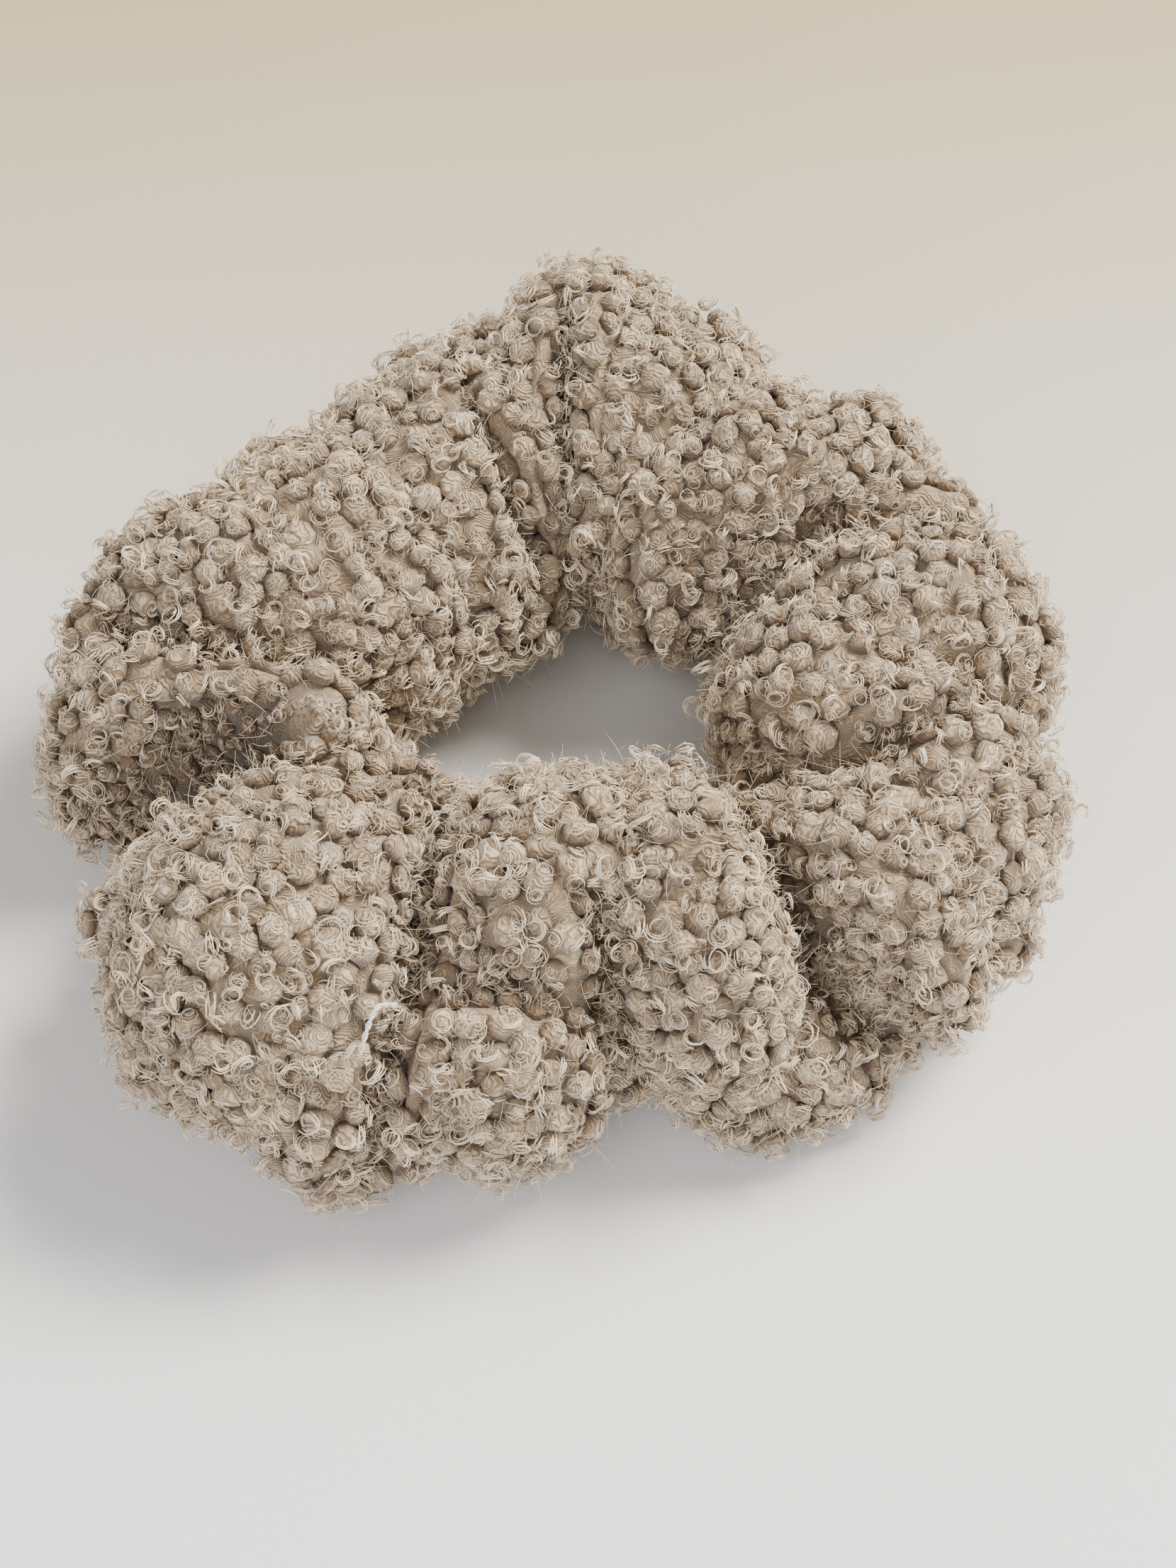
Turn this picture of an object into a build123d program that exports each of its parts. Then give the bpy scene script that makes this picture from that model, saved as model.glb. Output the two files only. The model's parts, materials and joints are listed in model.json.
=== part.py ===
"""Gathered bouclé hair scrunchie: a sewn cloth tube, its seams and the elastic loop inside it.

Millimetres, +Z up. The scrunchie lies flat; its soles rest on Z = 0 and the origin is the middle of
its bounding box on that plane. Angles run counter-clockwise round the ring from +X, in degrees.
"""
import os
from math import cos, degrees, pi, radians, sin
from typing import NamedTuple

from build123d import *

os.makedirs("parts", exist_ok=True)

# ---- Driving dimensions -------------------------------------------------------------------------

RING_CENTRE = Vector(0.2, 0.7, 0)  # centre of the elastic loop, from the middle of the outline
WALL = 4.5                # backing and curled pile together
SOLE_DEPTH = 1.0          # how far a belly is pressed flat where it lies on the table
PINCH_LIFT = 2.0          # clearance under the cover where it is drawn in
GATHER_GAP = 0.6          # fold between two neighbouring gathers

ELASTIC_RADIUS = 31.0     # middle of the flat band, lying slack
ELASTIC_WIDTH = 6.5
ELASTIC_THICK = 0.9
ELASTIC_HEIGHT = 20.5     # middle of the band above the table
LAP_ANGLE = 265.0         # where the lapped ends of the elastic are sewn together
LAP_SPAN = 20.0           # angle covered by the lap, about 11 mm along the band
LAP_STEP_SPAN = 8.0       # angle over which the outer end steps out over the inner one
LAP_CLEARANCE = 0.06

ZIGZAG_STROKES = 6        # zigzag sewn across the lap
ZIGZAG_HALF_HEIGHT = 2.0
ZIGZAG_MARGIN = 2.0       # angle left plain at each end of the lap
ZIGZAG_GAP = 0.7          # angle left between one stroke and the next
ZIGZAG_SAG = 0.06         # how far a straight stroke stands off the inside of the curved band

ALLOWANCE_RADIUS = 40.0   # long seam: both edges turned up inside the tube
ALLOWANCE_THICK = 2.4
ALLOWANCE_FOOT = 3.0
ALLOWANCE_TOP = 11.4
THREAD = 0.4              # sewing thread
STITCH = 2.6              # length of one stitch
STITCH_PITCH = 3.4
STITCH_HEIGHT = 9.7       # height of the long seam's stitches
STITCH_CLEARANCE = 0.03

CLOSING_STITCHES = 26
CLOSING_STITCH = 2.2
CLOSING_STAND_OFF = 0.6   # thread's middle above the cloth, which flares away from the seam

TAIL_THREAD = 0.7         # two-ply yarn of the loose tail
TAIL_BEND = 1.4           # radius of its bends


class Section(NamedTuple):
    """Oval section of the tube in the radial plane at an angle round the ring."""

    angle: float
    radius: float
    half_width: float
    half_height: float


class Gather(NamedTuple):
    """One gather of the cover, between the folds at its two ends."""

    node: str
    start: Section
    belly: Section
    end: Section


# Folds, where the elastic draws the cover in, counter-clockwise from the closing seam.
SEAM = Section(310, 39.5, 17, 17)
FOLD_SEAM_RIGHT = Section(320, 42, 19, 18.5)
FOLD_LOWER_RIGHT = Section(345, 41, 18.5, 18)
FOLD_RIGHT = Section(378, 39.5, 18.5, 17.5)
FOLD_BACK_RIGHT = Section(412, 36, 19, 20)
FOLD_BACK = Section(446, 39.5, 21.5, 22)
FOLD_BACK_LEFT = Section(472, 33, 18.5, 20)
FOLD_UPPER_LEFT = Section(508, 34.5, 18.5, 20)
FOLD_LEFT = Section(545, 41.5, 20, 17)
FOLD_LOWER_LEFT = Section(577, 43, 18.5, 17.5)
FOLD_FRONT_LEFT = Section(610, 43.5, 19.5, 18)
FOLD_FRONT = Section(639, 36, 16.5, 17.5)
FOLD_SEAM_FRONT = Section(660, 40.5, 18, 18)
SEAM_AGAIN = Section(670, 39.5, 17, 17)

GATHERS = [
    Gather("cover_gather_01", FOLD_SEAM_RIGHT, Section(332, 44.5, 21.5, 22), FOLD_LOWER_RIGHT),
    Gather("cover_gather_02", FOLD_LOWER_RIGHT, Section(362, 41, 21.3, 23), FOLD_RIGHT),
    Gather("cover_gather_03", FOLD_RIGHT, Section(396, 40, 22.5, 23), FOLD_BACK_RIGHT),
    Gather("cover_gather_04", FOLD_BACK_RIGHT, Section(430, 38.5, 23.5, 25.5), FOLD_BACK),
    Gather("cover_gather_05", FOLD_BACK, Section(458, 37.5, 22.5, 25), FOLD_BACK_LEFT),
    Gather("cover_gather_06", FOLD_BACK_LEFT, Section(491, 32, 20, 21.5), FOLD_UPPER_LEFT),
    Gather("cover_gather_07", FOLD_UPPER_LEFT, Section(529, 41, 21.5, 22), FOLD_LEFT),
    Gather("cover_gather_08", FOLD_LEFT, Section(560, 41, 21.5, 21.5), FOLD_LOWER_LEFT),
    Gather("cover_gather_09", FOLD_LOWER_LEFT, Section(596, 46, 22, 23), FOLD_FRONT_LEFT),
    Gather("cover_gather_10", FOLD_FRONT_LEFT, Section(624, 40.5, 22, 22.5), FOLD_FRONT),
    Gather("cover_gather_11", FOLD_FRONT, Section(650, 40, 20, 22), FOLD_SEAM_FRONT),
]
SEAM_ENDS = [
    ("cover_seam_end_a", SEAM, FOLD_SEAM_RIGHT),
    ("cover_seam_end_b", FOLD_SEAM_FRONT, SEAM_AGAIN),
]


# ---- Places round the ring ----------------------------------------------------------------------

def outward(angle):
    """Unit vector from the ring's centre at an angle."""
    return Vector(cos(radians(angle)), sin(radians(angle)), 0)


def ring_point(angle, radius, height):
    """Point at an angle, a radius from the ring's centre and a height."""
    return RING_CENTRE + outward(angle) * radius + Vector(0, 0, height)


def radial_plane(angle, radius, height):
    """Plane across the tube: X points out of the ring, Y down and Z along the ring."""
    return Plane(ring_point(angle, radius, height), x_dir=outward(angle), z_dir=outward(angle + 90))


def face_angle(section, side):
    """Angle of an end face, turned from its fold's middle by half the gap."""
    return section.angle + side * degrees(GATHER_GAP / 2 / section.radius)


def fold_height(section):
    """Height of the middle of a section at a fold."""
    return section.half_height + PINCH_LIFT


def belly_height(section):
    """Height of the middle of a section at a belly."""
    return section.half_height - SOLE_DEPTH


def placed_sections(start, belly, end):
    """The sections of a length of tube as (plane, half width, half height)."""
    rows = [(radial_plane(face_angle(start, 1), start.radius, fold_height(start)), start)]
    if belly:
        rows.append((radial_plane(belly.angle, belly.radius, belly_height(belly)), belly))
    rows.append((radial_plane(face_angle(end, -1), end.radius, fold_height(end)), end))
    return [(plane, section.half_width, section.half_height) for plane, section in rows]


# ---- Cover --------------------------------------------------------------------------------------

def cover_length(start, belly, end):
    """One length of the cloth tube, hollow, with its seam allowance and a flat sole.

    The belly may be None, where the tube runs straight from one fold to the next.
    """
    rows = placed_sections(start, belly, end)
    first_angle = face_angle(start, 1)
    last_angle = face_angle(end, -1)
    with BuildPart() as cover:
        for plane, half_width, half_height in rows:
            with BuildSketch(plane):
                Ellipse(half_width, half_height)
        loft(ruled=belly is None)
        for plane, half_width, half_height in rows:
            with BuildSketch(plane):
                Ellipse(half_width - WALL, half_height - WALL)
        loft(ruled=belly is None, mode=Mode.SUBTRACT)
        with BuildSketch(Plane.XY.offset(ALLOWANCE_FOOT)):
            with BuildLine():
                radius_in = ALLOWANCE_RADIUS - ALLOWANCE_THICK / 2
                radius_out = ALLOWANCE_RADIUS + ALLOWANCE_THICK / 2
                span = last_angle - first_angle
                inner = CenterArc(RING_CENTRE, radius_in, first_angle, span)
                outer = CenterArc(RING_CENTRE, radius_out, first_angle, span)
                Line(inner @ 0, outer @ 0)
                Line(inner @ 1, outer @ 1)
            make_face()
        extrude(amount=ALLOWANCE_TOP - ALLOWANCE_FOOT)
        split(bisect_by=Plane.XY, keep=Keep.TOP)
    return cover


def long_seam(first, last):
    """Stitches on both faces of the seam allowance between two angles."""
    run = radians(last - first) * ALLOWANCE_RADIUS
    count = max(1, int((run - STITCH) / STITCH_PITCH) + 1)
    step = degrees(STITCH_PITCH / ALLOWANCE_RADIUS)
    middle = (first + last) / 2
    half = ALLOWANCE_THICK / 2 + THREAD / 2 + STITCH_CLEARANCE
    sagitta = ALLOWANCE_RADIUS - (ALLOWANCE_RADIUS**2 - (STITCH / 2) ** 2) ** 0.5
    radii = (ALLOWANCE_RADIUS - half, ALLOWANCE_RADIUS + half + sagitta)
    with BuildPart() as thread:
        for index in range(count):
            angle = middle + (index - (count - 1) / 2) * step
            for radius in radii:
                with BuildSketch(radial_plane(angle, radius, STITCH_HEIGHT)):
                    Circle(THREAD / 2)
                extrude(amount=STITCH / 2, both=True)
    return thread


def write(builder, node):
    """Label a finished piece and write its STEP file."""
    builder.part.label = node
    export_step(builder.part, f"parts/{node}.step")


for gather in GATHERS:
    write(cover_length(gather.start, gather.belly, gather.end), gather.node)
    seam_node = gather.node.replace("cover_gather", "long_seam_thread")
    write(long_seam(gather.start.angle, gather.end.angle), seam_node)

for node, start, end in SEAM_ENDS:
    write(cover_length(start, None, end), node)
    write(long_seam(start.angle, end.angle), node.replace("cover_seam_end", "long_seam_thread_end"))


# ---- Elastic loop -------------------------------------------------------------------------------

lap_start = LAP_ANGLE - LAP_SPAN / 2
lap_end = LAP_ANGLE + LAP_SPAN / 2
turn = 360 - LAP_STEP_SPAN
lap_radius = ELASTIC_RADIUS + ELASTIC_THICK + LAP_CLEARANCE

with BuildPart() as elastic_band:
    with BuildSketch(Plane.XY.offset(ELASTIC_HEIGHT - ELASTIC_WIDTH / 2)):
        with BuildLine():
            edges = []
            for side in (-ELASTIC_THICK / 2, ELASTIC_THICK / 2):
                main = CenterArc(RING_CENTRE, ELASTIC_RADIUS + side, lap_start, turn)
                lapped = CenterArc(RING_CENTRE, lap_radius + side, lap_start, LAP_SPAN)
                Line(main @ 1, lapped @ 0)
                edges.append((main @ 0, lapped @ 1))
            Line(edges[0][0], edges[1][0])
            Line(edges[0][1], edges[1][1])
        make_face()
    extrude(amount=ELASTIC_WIDTH)
write(elastic_band, "elastic_band")

zigzag_step = (LAP_SPAN - 2 * ZIGZAG_MARGIN) / ZIGZAG_STROKES
inner_face = ELASTIC_RADIUS - ELASTIC_THICK / 2 - THREAD / 2 - STITCH_CLEARANCE - ZIGZAG_SAG
outer_face = lap_radius + ELASTIC_THICK / 2 + THREAD / 2 + STITCH_CLEARANCE

with BuildPart() as elastic_join_thread:
    for stroke in range(ZIGZAG_STROKES):
        rise = ZIGZAG_HALF_HEIGHT if stroke % 2 else -ZIGZAG_HALF_HEIGHT
        angle = lap_start + ZIGZAG_MARGIN + stroke * zigzag_step
        for radius in (inner_face, outer_face):
            low = ring_point(angle + ZIGZAG_GAP / 2, radius, ELASTIC_HEIGHT - rise)
            high = ring_point(angle + zigzag_step - ZIGZAG_GAP / 2, radius, ELASTIC_HEIGHT + rise)
            with BuildSketch(Plane(low, z_dir=high - low)):
                Circle(THREAD / 2)
            extrude(amount=(high - low).length)
write(elastic_join_thread, "elastic_join_thread")


# ---- Closing seam: stitches laid round the tube, across the joint of its two ends ----------------

with BuildPart() as closing_seam_thread:
    for index in range(CLOSING_STITCHES):
        around = 2 * pi * index / CLOSING_STITCHES
        radius = SEAM.radius + (SEAM.half_width + CLOSING_STAND_OFF) * cos(around)
        height = fold_height(SEAM) + (SEAM.half_height + CLOSING_STAND_OFF) * sin(around)
        with BuildSketch(radial_plane(SEAM.angle, radius, height)):
            Circle(THREAD / 2)
        extrude(amount=CLOSING_STITCH / 2, both=True)
write(closing_seam_thread, "closing_seam_thread")


# ---- Loose tail of yarn, lying over the front-left lobe beside its fold --------------------------

tail_points = [
    ring_point(608.6, 54.0, 34.9),
    ring_point(608.8, 56.3, 36.3),
    ring_point(608.8, 59.0, 34.8),
    ring_point(608.5, 61.6, 31.6),
]
with BuildPart() as thread_tail:
    with BuildLine() as tail_route:
        FilletPolyline(*tail_points, radius=TAIL_BEND)
    with BuildSketch(Plane(tail_points[0], z_dir=tail_points[1] - tail_points[0])):
        Circle(TAIL_THREAD / 2)
    sweep(path=tail_route.wires()[0])
write(thread_tail, "thread_tail")
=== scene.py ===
"""Looks of a gathered bouclé hair scrunchie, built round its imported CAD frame.

Lengths in the tables are millimetres; everything in Blender is in metres. Angles run
counter-clockwise round the ring from +X, in degrees.
"""
import json
import logging
import math
from dataclasses import InitVar, dataclass, field
from enum import Enum
from typing import Optional, Sequence

import bmesh
import bpy
import numpy as np
from mathutils import Matrix, Vector
from mathutils.kdtree import KDTree

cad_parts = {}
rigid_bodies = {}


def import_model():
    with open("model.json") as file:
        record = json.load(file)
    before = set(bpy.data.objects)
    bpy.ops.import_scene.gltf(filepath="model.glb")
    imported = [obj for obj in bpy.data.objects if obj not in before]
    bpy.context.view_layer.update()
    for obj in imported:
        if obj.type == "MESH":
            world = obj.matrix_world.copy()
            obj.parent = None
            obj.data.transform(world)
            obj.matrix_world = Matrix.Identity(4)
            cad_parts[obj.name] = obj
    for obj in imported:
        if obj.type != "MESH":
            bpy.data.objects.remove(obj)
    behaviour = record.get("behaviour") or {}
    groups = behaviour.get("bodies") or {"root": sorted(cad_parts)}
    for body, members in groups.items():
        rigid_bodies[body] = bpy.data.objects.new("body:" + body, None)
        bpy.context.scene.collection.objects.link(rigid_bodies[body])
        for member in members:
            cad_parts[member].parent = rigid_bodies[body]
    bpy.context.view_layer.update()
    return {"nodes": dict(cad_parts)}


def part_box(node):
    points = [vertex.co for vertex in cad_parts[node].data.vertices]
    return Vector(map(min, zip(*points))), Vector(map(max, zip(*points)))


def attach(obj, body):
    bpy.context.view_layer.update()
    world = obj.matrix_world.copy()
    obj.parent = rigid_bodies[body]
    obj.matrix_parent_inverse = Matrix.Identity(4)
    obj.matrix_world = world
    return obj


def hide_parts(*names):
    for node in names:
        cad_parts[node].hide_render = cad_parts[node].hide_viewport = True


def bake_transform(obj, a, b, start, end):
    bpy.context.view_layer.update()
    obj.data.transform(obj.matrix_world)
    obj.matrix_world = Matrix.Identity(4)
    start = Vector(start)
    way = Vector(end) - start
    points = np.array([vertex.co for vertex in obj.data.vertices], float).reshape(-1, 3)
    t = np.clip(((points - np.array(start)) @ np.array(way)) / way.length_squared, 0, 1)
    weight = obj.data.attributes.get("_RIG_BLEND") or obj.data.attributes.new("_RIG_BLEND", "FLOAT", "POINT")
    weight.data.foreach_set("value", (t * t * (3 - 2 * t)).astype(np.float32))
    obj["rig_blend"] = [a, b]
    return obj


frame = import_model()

MM = 0.001
TAU = 2 * math.pi
LOG = logging.getLogger("scrunchie")


# ---- Places round the ring -----------------------------------------------------------------------

@dataclass
class Ring:
    """Places round the slack elastic loop, on which the cover is gathered.

    Each body of the frame holds the cloth at one angle; between two such angles the cloth stretches.
    """

    centre: Vector = field(init=False)
    bodies: list[str] = field(init=False)
    angles: np.ndarray = field(init=False)

    def __post_init__(self) -> None:
        """Read the ring's centre and the angle of each body from the frame."""
        low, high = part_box("elastic_band")
        self.centre = Vector(((low[0] + high[0]) / 2, (low[1] + high[1]) / 2, 0.0))
        gathers = sorted(name for name in frame["nodes"] if name.startswith("cover_gather_"))
        seam_angle = self.angle_of(self.middle("closing_seam_thread"))
        angles = [seam_angle]
        for node in gathers:
            angle = self.angle_of(self.middle(node))
            while angle < angles[-1]:
                angle += 360.0
            angles.append(angle)
        angles.append(seam_angle + 360.0)
        self.angles = np.array(angles)
        numbers = [node.rsplit("_", 1)[1] for node in gathers]
        self.bodies = ["root", *(f"gather_{number}" for number in numbers), "seam_end"]

    @staticmethod
    def middle(node: str) -> Vector:
        """Return the middle of a node's box."""
        low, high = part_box(node)
        return (Vector(low) + Vector(high)) / 2

    def angle_of(self, point: Sequence[float]) -> float:
        """Return a point's angle round the ring, from 0 to 360 degrees."""
        return math.degrees(math.atan2(point[1] - self.centre.y, point[0] - self.centre.x)) % 360.0

    def angles_of(self, points: np.ndarray) -> np.ndarray:
        """Return the angles of many points, counted on from the closing seam's angle."""
        delta = points[:, :2] - np.array(self.centre[:2])
        angles = np.degrees(np.arctan2(delta[:, 1], delta[:, 0]))
        return self.angles[0] + (angles - self.angles[0]) % 360.0

    def point(self, angle: float, radius: float, height: float) -> Vector:
        """Return the place at an angle, a radius and a height given in millimetres."""
        turn = math.radians(angle)
        return self.centre + Vector((radius * math.cos(turn), radius * math.sin(turn), height)) * MM

    def panel_of(self, angles: np.ndarray) -> np.ndarray:
        """Return which panel of cloth, between two bodies' angles, each angle lies in."""
        return np.clip(np.searchsorted(self.angles, angles, side="right") - 1, 0, len(self.angles) - 2)

    def share(self, angles: np.ndarray, panel: int) -> np.ndarray:
        """Return how far each angle follows the panel's second body, from 0 to 1."""
        start, end = self.angles[panel], self.angles[panel + 1]
        opposite = (start + end) / 2 - 180.0
        near = opposite + (angles - opposite) % 360.0
        part = np.clip((near - start) / (end - start), 0.0, 1.0)
        return part * part * (3 - 2 * part)


# ---- Shader graphs -------------------------------------------------------------------------------

class Value:
    """A number that varies over a surface: a shader socket with arithmetic."""

    def __init__(self, graph: "Graph", socket: bpy.types.NodeSocket) -> None:
        """Wrap a socket of a graph."""
        self.graph = graph
        self.socket = socket

    def _math(self, operation: str, *operands: object) -> "Value":
        """Add a Math node over the operands and return its result."""
        node = self.graph.node("ShaderNodeMath", {"operation": operation}, dict(enumerate(operands)))
        return Value(self.graph, node.outputs[0])

    def __add__(self, other: object) -> "Value":
        """Return self + other."""
        return self._math("ADD", self, other)

    __radd__ = __add__

    def __sub__(self, other: object) -> "Value":
        """Return self - other."""
        return self._math("SUBTRACT", self, other)

    def __rsub__(self, other: object) -> "Value":
        """Return other - self."""
        return self._math("SUBTRACT", other, self)

    def __mul__(self, other: object) -> "Value":
        """Return self * other."""
        return self._math("MULTIPLY", self, other)

    __rmul__ = __mul__

    def clamped(self) -> "Value":
        """Return the value held between 0 and 1."""
        node = self.graph.node("ShaderNodeClamp", {}, {"Value": self})
        return Value(self.graph, node.outputs[0])

    def wave(self) -> "Value":
        """Return a wave from 0 to 1 that repeats as the value grows by a full turn."""
        return self._math("SINE", self) * 0.5 + 0.5

    def step(self, low: float, high: float) -> "Value":
        """Return 0 below low, 1 above high and a smooth rise between them."""
        settings = {"interpolation_type": "SMOOTHSTEP"}
        inputs = {"Value": self, "From Min": low, "From Max": high}
        node = self.graph.node("ShaderNodeMapRange", settings, inputs)
        return Value(self.graph, node.outputs[0])


class Graph:
    """The node graph of one material, round its Principled shader."""

    def __init__(self, name: str, base: Sequence[float], **constants: object) -> None:
        """Start a material.

        Args:
            name: The material's name.
            base: Average colour, set on the shader's own socket and as the material's viewport colour.
            constants: Sockets of the shader that are the same all over, with spaces as underscores.
        """
        self.material = bpy.data.materials.new(name)
        self.material.use_nodes = True
        self.tree = self.material.node_tree
        self.shader = next(n for n in self.tree.nodes if n.type == "BSDF_PRINCIPLED")
        self.shader.inputs["Base Color"].default_value = (*base, 1.0)
        self.material.diffuse_color = (*base, 1.0)
        for socket, value in constants.items():
            self.shader.inputs[socket.replace("_", " ")].default_value = value

    def node(self, kind: str, settings: Optional[dict] = None,
             inputs: Optional[dict] = None) -> bpy.types.Node:
        """Add a node.

        Args:
            kind: The node's type.
            settings: Properties of the node, set first.
            inputs: Values or links by socket name or number.

        Returns:
            The node.
        """
        node = self.tree.nodes.new(kind)
        for key, value in (settings or {}).items():
            setattr(node, key, value)
        for key, value in (inputs or {}).items():
            if isinstance(value, Value):
                self.tree.links.new(value.socket, node.inputs[key])
            elif isinstance(value, bpy.types.NodeSocket):
                self.tree.links.new(value, node.inputs[key])
            else:
                node.inputs[key].default_value = value
        return node

    def value(self, kind: str, output: object = 0, settings: Optional[dict] = None,
              inputs: Optional[dict] = None) -> Value:
        """Add a node and return one of its outputs as a value."""
        return Value(self, self.node(kind, settings, inputs).outputs[output])

    def attribute(self, name: str) -> Value:
        """Return a number that the mesh carries."""
        return self.value("ShaderNodeAttribute", "Fac", {"attribute_name": name})

    def place(self) -> bpy.types.NodeSocket:
        """Return the place on the piece, in metres."""
        return self.node("ShaderNodeTexCoord").outputs["Object"]

    def noise(self, vector: bpy.types.NodeSocket, scale: float, detail: float = 2.0) -> Value:
        """Return soft noise round 0.5 at a scale."""
        inputs = {"Vector": vector, "Scale": scale, "Detail": detail}
        return self.value("ShaderNodeTexNoise", "Fac", {}, inputs)

    def swirls(self, vector: bpy.types.NodeSocket, period: float, lines: float) -> Value:
        """Return lines from 0 to 1 that run side by side in swirls, as combed fibre lies.

        Args:
            vector: Coordinates in metres.
            period: Size of one swirl, in metres.
            lines: How closely the lines follow each other.

        Returns:
            The lines, 1 at the middle of each.
        """
        unevenness = 0.06
        bed = self.noise(vector, 1 / period, 0.0) + self.noise(vector, 5 / period, 0.0) * unevenness
        return (bed * (TAU * lines)).wave()

    def mix(self, factor: Value, first: object, second: object) -> bpy.types.NodeSocket:
        """Return a colour between two by a factor."""
        inputs = {0: factor, 6: self._rgba(first), 7: self._rgba(second)}
        node = self.node("ShaderNodeMix", {"data_type": "RGBA"}, inputs)
        return node.outputs[2]

    @staticmethod
    def _rgba(colour: object) -> object:
        """Give a plain colour its alpha; links pass through."""
        return colour if isinstance(colour, bpy.types.NodeSocket) else (*colour, 1.0)

    def feed(self, socket: str, source: object) -> None:
        """Link a varying value or colour to a socket of the shader."""
        link = source.socket if isinstance(source, Value) else source
        self.tree.links.new(link, self.shader.inputs[socket])

    def bump(self, height: Value, distance: float) -> None:
        """Roughen the surface by a height, which stands for a distance in metres at 1."""
        inputs = {"Height": height, "Distance": distance}
        self.feed("Normal", self.node("ShaderNodeBump", {}, inputs).outputs[0])


# ---- Finishes ------------------------------------------------------------------------------------

# Scale of the wave texture whose bands are a metre apart.
BANDS = 0.33


@dataclass(frozen=True)
class KnitBacking:
    """Thin knit that the pile stands on: matted with fibre, but an open net of yarn where it is worn. Its
    folds and the holes of its net are painted dark as shade.
    """

    matted: tuple = (0.27, 0.18, 0.10)
    combed: tuple = (0.62, 0.475, 0.315)
    yarn: tuple = (0.72, 0.58, 0.41)
    shade: tuple = (0.46, 0.33, 0.205)
    # Painted shade: the colour of the knit deep in the folds of the cloth.
    dark_tone_and_shade: tuple = (0.10, 0.062, 0.034)
    # Painted shade: the dark seen through the holes of the worn net.
    shaded_hole: tuple = (0.06, 0.038, 0.024)
    pitch: float = 0.68
    patch: float = 3.0
    swirl: float = 3.2
    lines: float = 15.0
    relief: float = 0.4

    def material(self) -> bpy.types.Material:
        """Return the material."""
        graph = Graph("knit_backing", self.matted, Roughness=0.85, Sheen_Weight=0.25)
        place = graph.place()
        worn = graph.attribute("worn")
        cells = {"Vector": place, "Scale": 1 / (self.pitch * MM), "Randomness": 0.6}
        distance = graph.value("ShaderNodeTexVoronoi", "Distance", {}, cells)
        loops = graph.noise(place, 3 / (self.pitch * MM))
        patches = graph.noise(place, 1 / (self.patch * MM))
        yarn = graph.mix(loops.step(0.3, 0.7), self.shade, self.yarn)
        lines = graph.swirls(place, self.swirl * MM, self.lines)
        felt = graph.mix(lines * 0.5 + patches * 0.4, self.matted, self.combed)
        base = graph.mix(worn, felt, yarn)
        # Holes of the worn net, painted with shade and sunk by the bump.
        shaded_hole = (patches * 0.25 + 0.20 - distance).step(-0.10, 0.0) * worn
        # Painted shade: the knit darkens deep in folds, by how deep in a fold each point lies.
        base = graph.mix(graph.attribute("folded"), base, self.dark_tone_and_shade)
        graph.feed("Base Color", graph.mix(shaded_hole, base, self.shaded_hole))
        graph.bump(loops * 0.5 + lines * 0.6 - shaded_hole * 0.7, self.relief * MM)
        return graph.material


@dataclass(frozen=True)
class CurledPile:
    """Curls of fine shiny fibre, cream at their crowns and painted darker and warmer down at the backing and
    in folds, as shade.
    """

    crown: tuple = (0.84, 0.69, 0.50)
    body: tuple = (0.38, 0.265, 0.155)
    # Painted shade: the colour of the pile down at the backing and deep in folds.
    root: tuple = (0.16, 0.10, 0.055)
    swirl: float = 2.8
    lines: float = 11.0
    fuzz: float = 0.3
    relief: float = 0.35

    def material(self) -> bpy.types.Material:
        """Return the material."""
        graph = Graph("curled_pile", self.body, Roughness=0.62, Sheen_Weight=0.35, Sheen_Roughness=0.4,
                      Specular_IOR_Level=0.35, Subsurface_Weight=0.0)
        tint = graph.attribute("tint")
        height = graph.attribute("height")
        place = graph.place()
        lines = graph.swirls(place, self.swirl * MM, self.lines)
        fuzz = graph.noise(place, 1 / (self.fuzz * MM))
        tone = (lines * 0.8 + fuzz * 0.7 + tint * 0.3 - 0.45).clamped()
        lit = graph.mix(tone, self.body, self.crown)
        # Painted shade: darker towards the cloth and in folds, by the height that the pile carries.
        graph.feed("Base Color", graph.mix(height.step(0.0, 0.75), self.root, lit))
        graph.bump(lines * 0.7 + fuzz * 0.5, self.relief * MM)
        return graph.material


@dataclass(frozen=True)
class FineFibre:
    """Single shiny fibres that wind round the curls and stray from them."""

    light: tuple = (0.99, 0.835, 0.63)
    # Dark end of each fibre's random tone, and painted shade towards the cloth and in folds.
    dark_tone_and_shade: tuple = (0.28, 0.19, 0.105)

    def material(self) -> bpy.types.Material:
        """Return the material."""
        graph = Graph("fine_fibre", self.light, Roughness=0.32, Sheen_Weight=0.15, Specular_IOR_Level=1.0)
        # Painted shade: fibres darken towards the cloth and in folds, mixed with a random tone.
        tone = (graph.attribute("tint") * 0.45 + graph.attribute("height") * 0.8 - 0.1).clamped()
        graph.feed("Base Color", graph.mix(tone, self.dark_tone_and_shade, self.light))
        return graph.material


@dataclass(frozen=True)
class SpunThread:
    """Spun or twisted thread with a ply that runs round it."""

    name: str = "spun_thread"
    light: tuple = (0.84, 0.80, 0.72)
    dark: tuple = (0.60, 0.53, 0.44)
    ply: float = 0.5
    fluff: float = 0.12
    relief: float = 0.06

    def material(self) -> bpy.types.Material:
        """Return the material."""
        graph = Graph(self.name, self.light, Roughness=0.6, Sheen_Weight=0.3)
        place = graph.place()
        waves = {"Vector": place, "Scale": BANDS / (self.ply * MM), "Distortion": 1.2}
        ply = graph.value("ShaderNodeTexWave", "Fac", {"bands_direction": "DIAGONAL"}, waves)
        spun = ply * 0.6 + graph.noise(place, 1 / (self.fluff * MM)) * 0.4
        graph.feed("Base Color", graph.mix(spun, self.dark, self.light))
        graph.bump(spun, self.relief * MM)
        return graph.material


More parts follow.
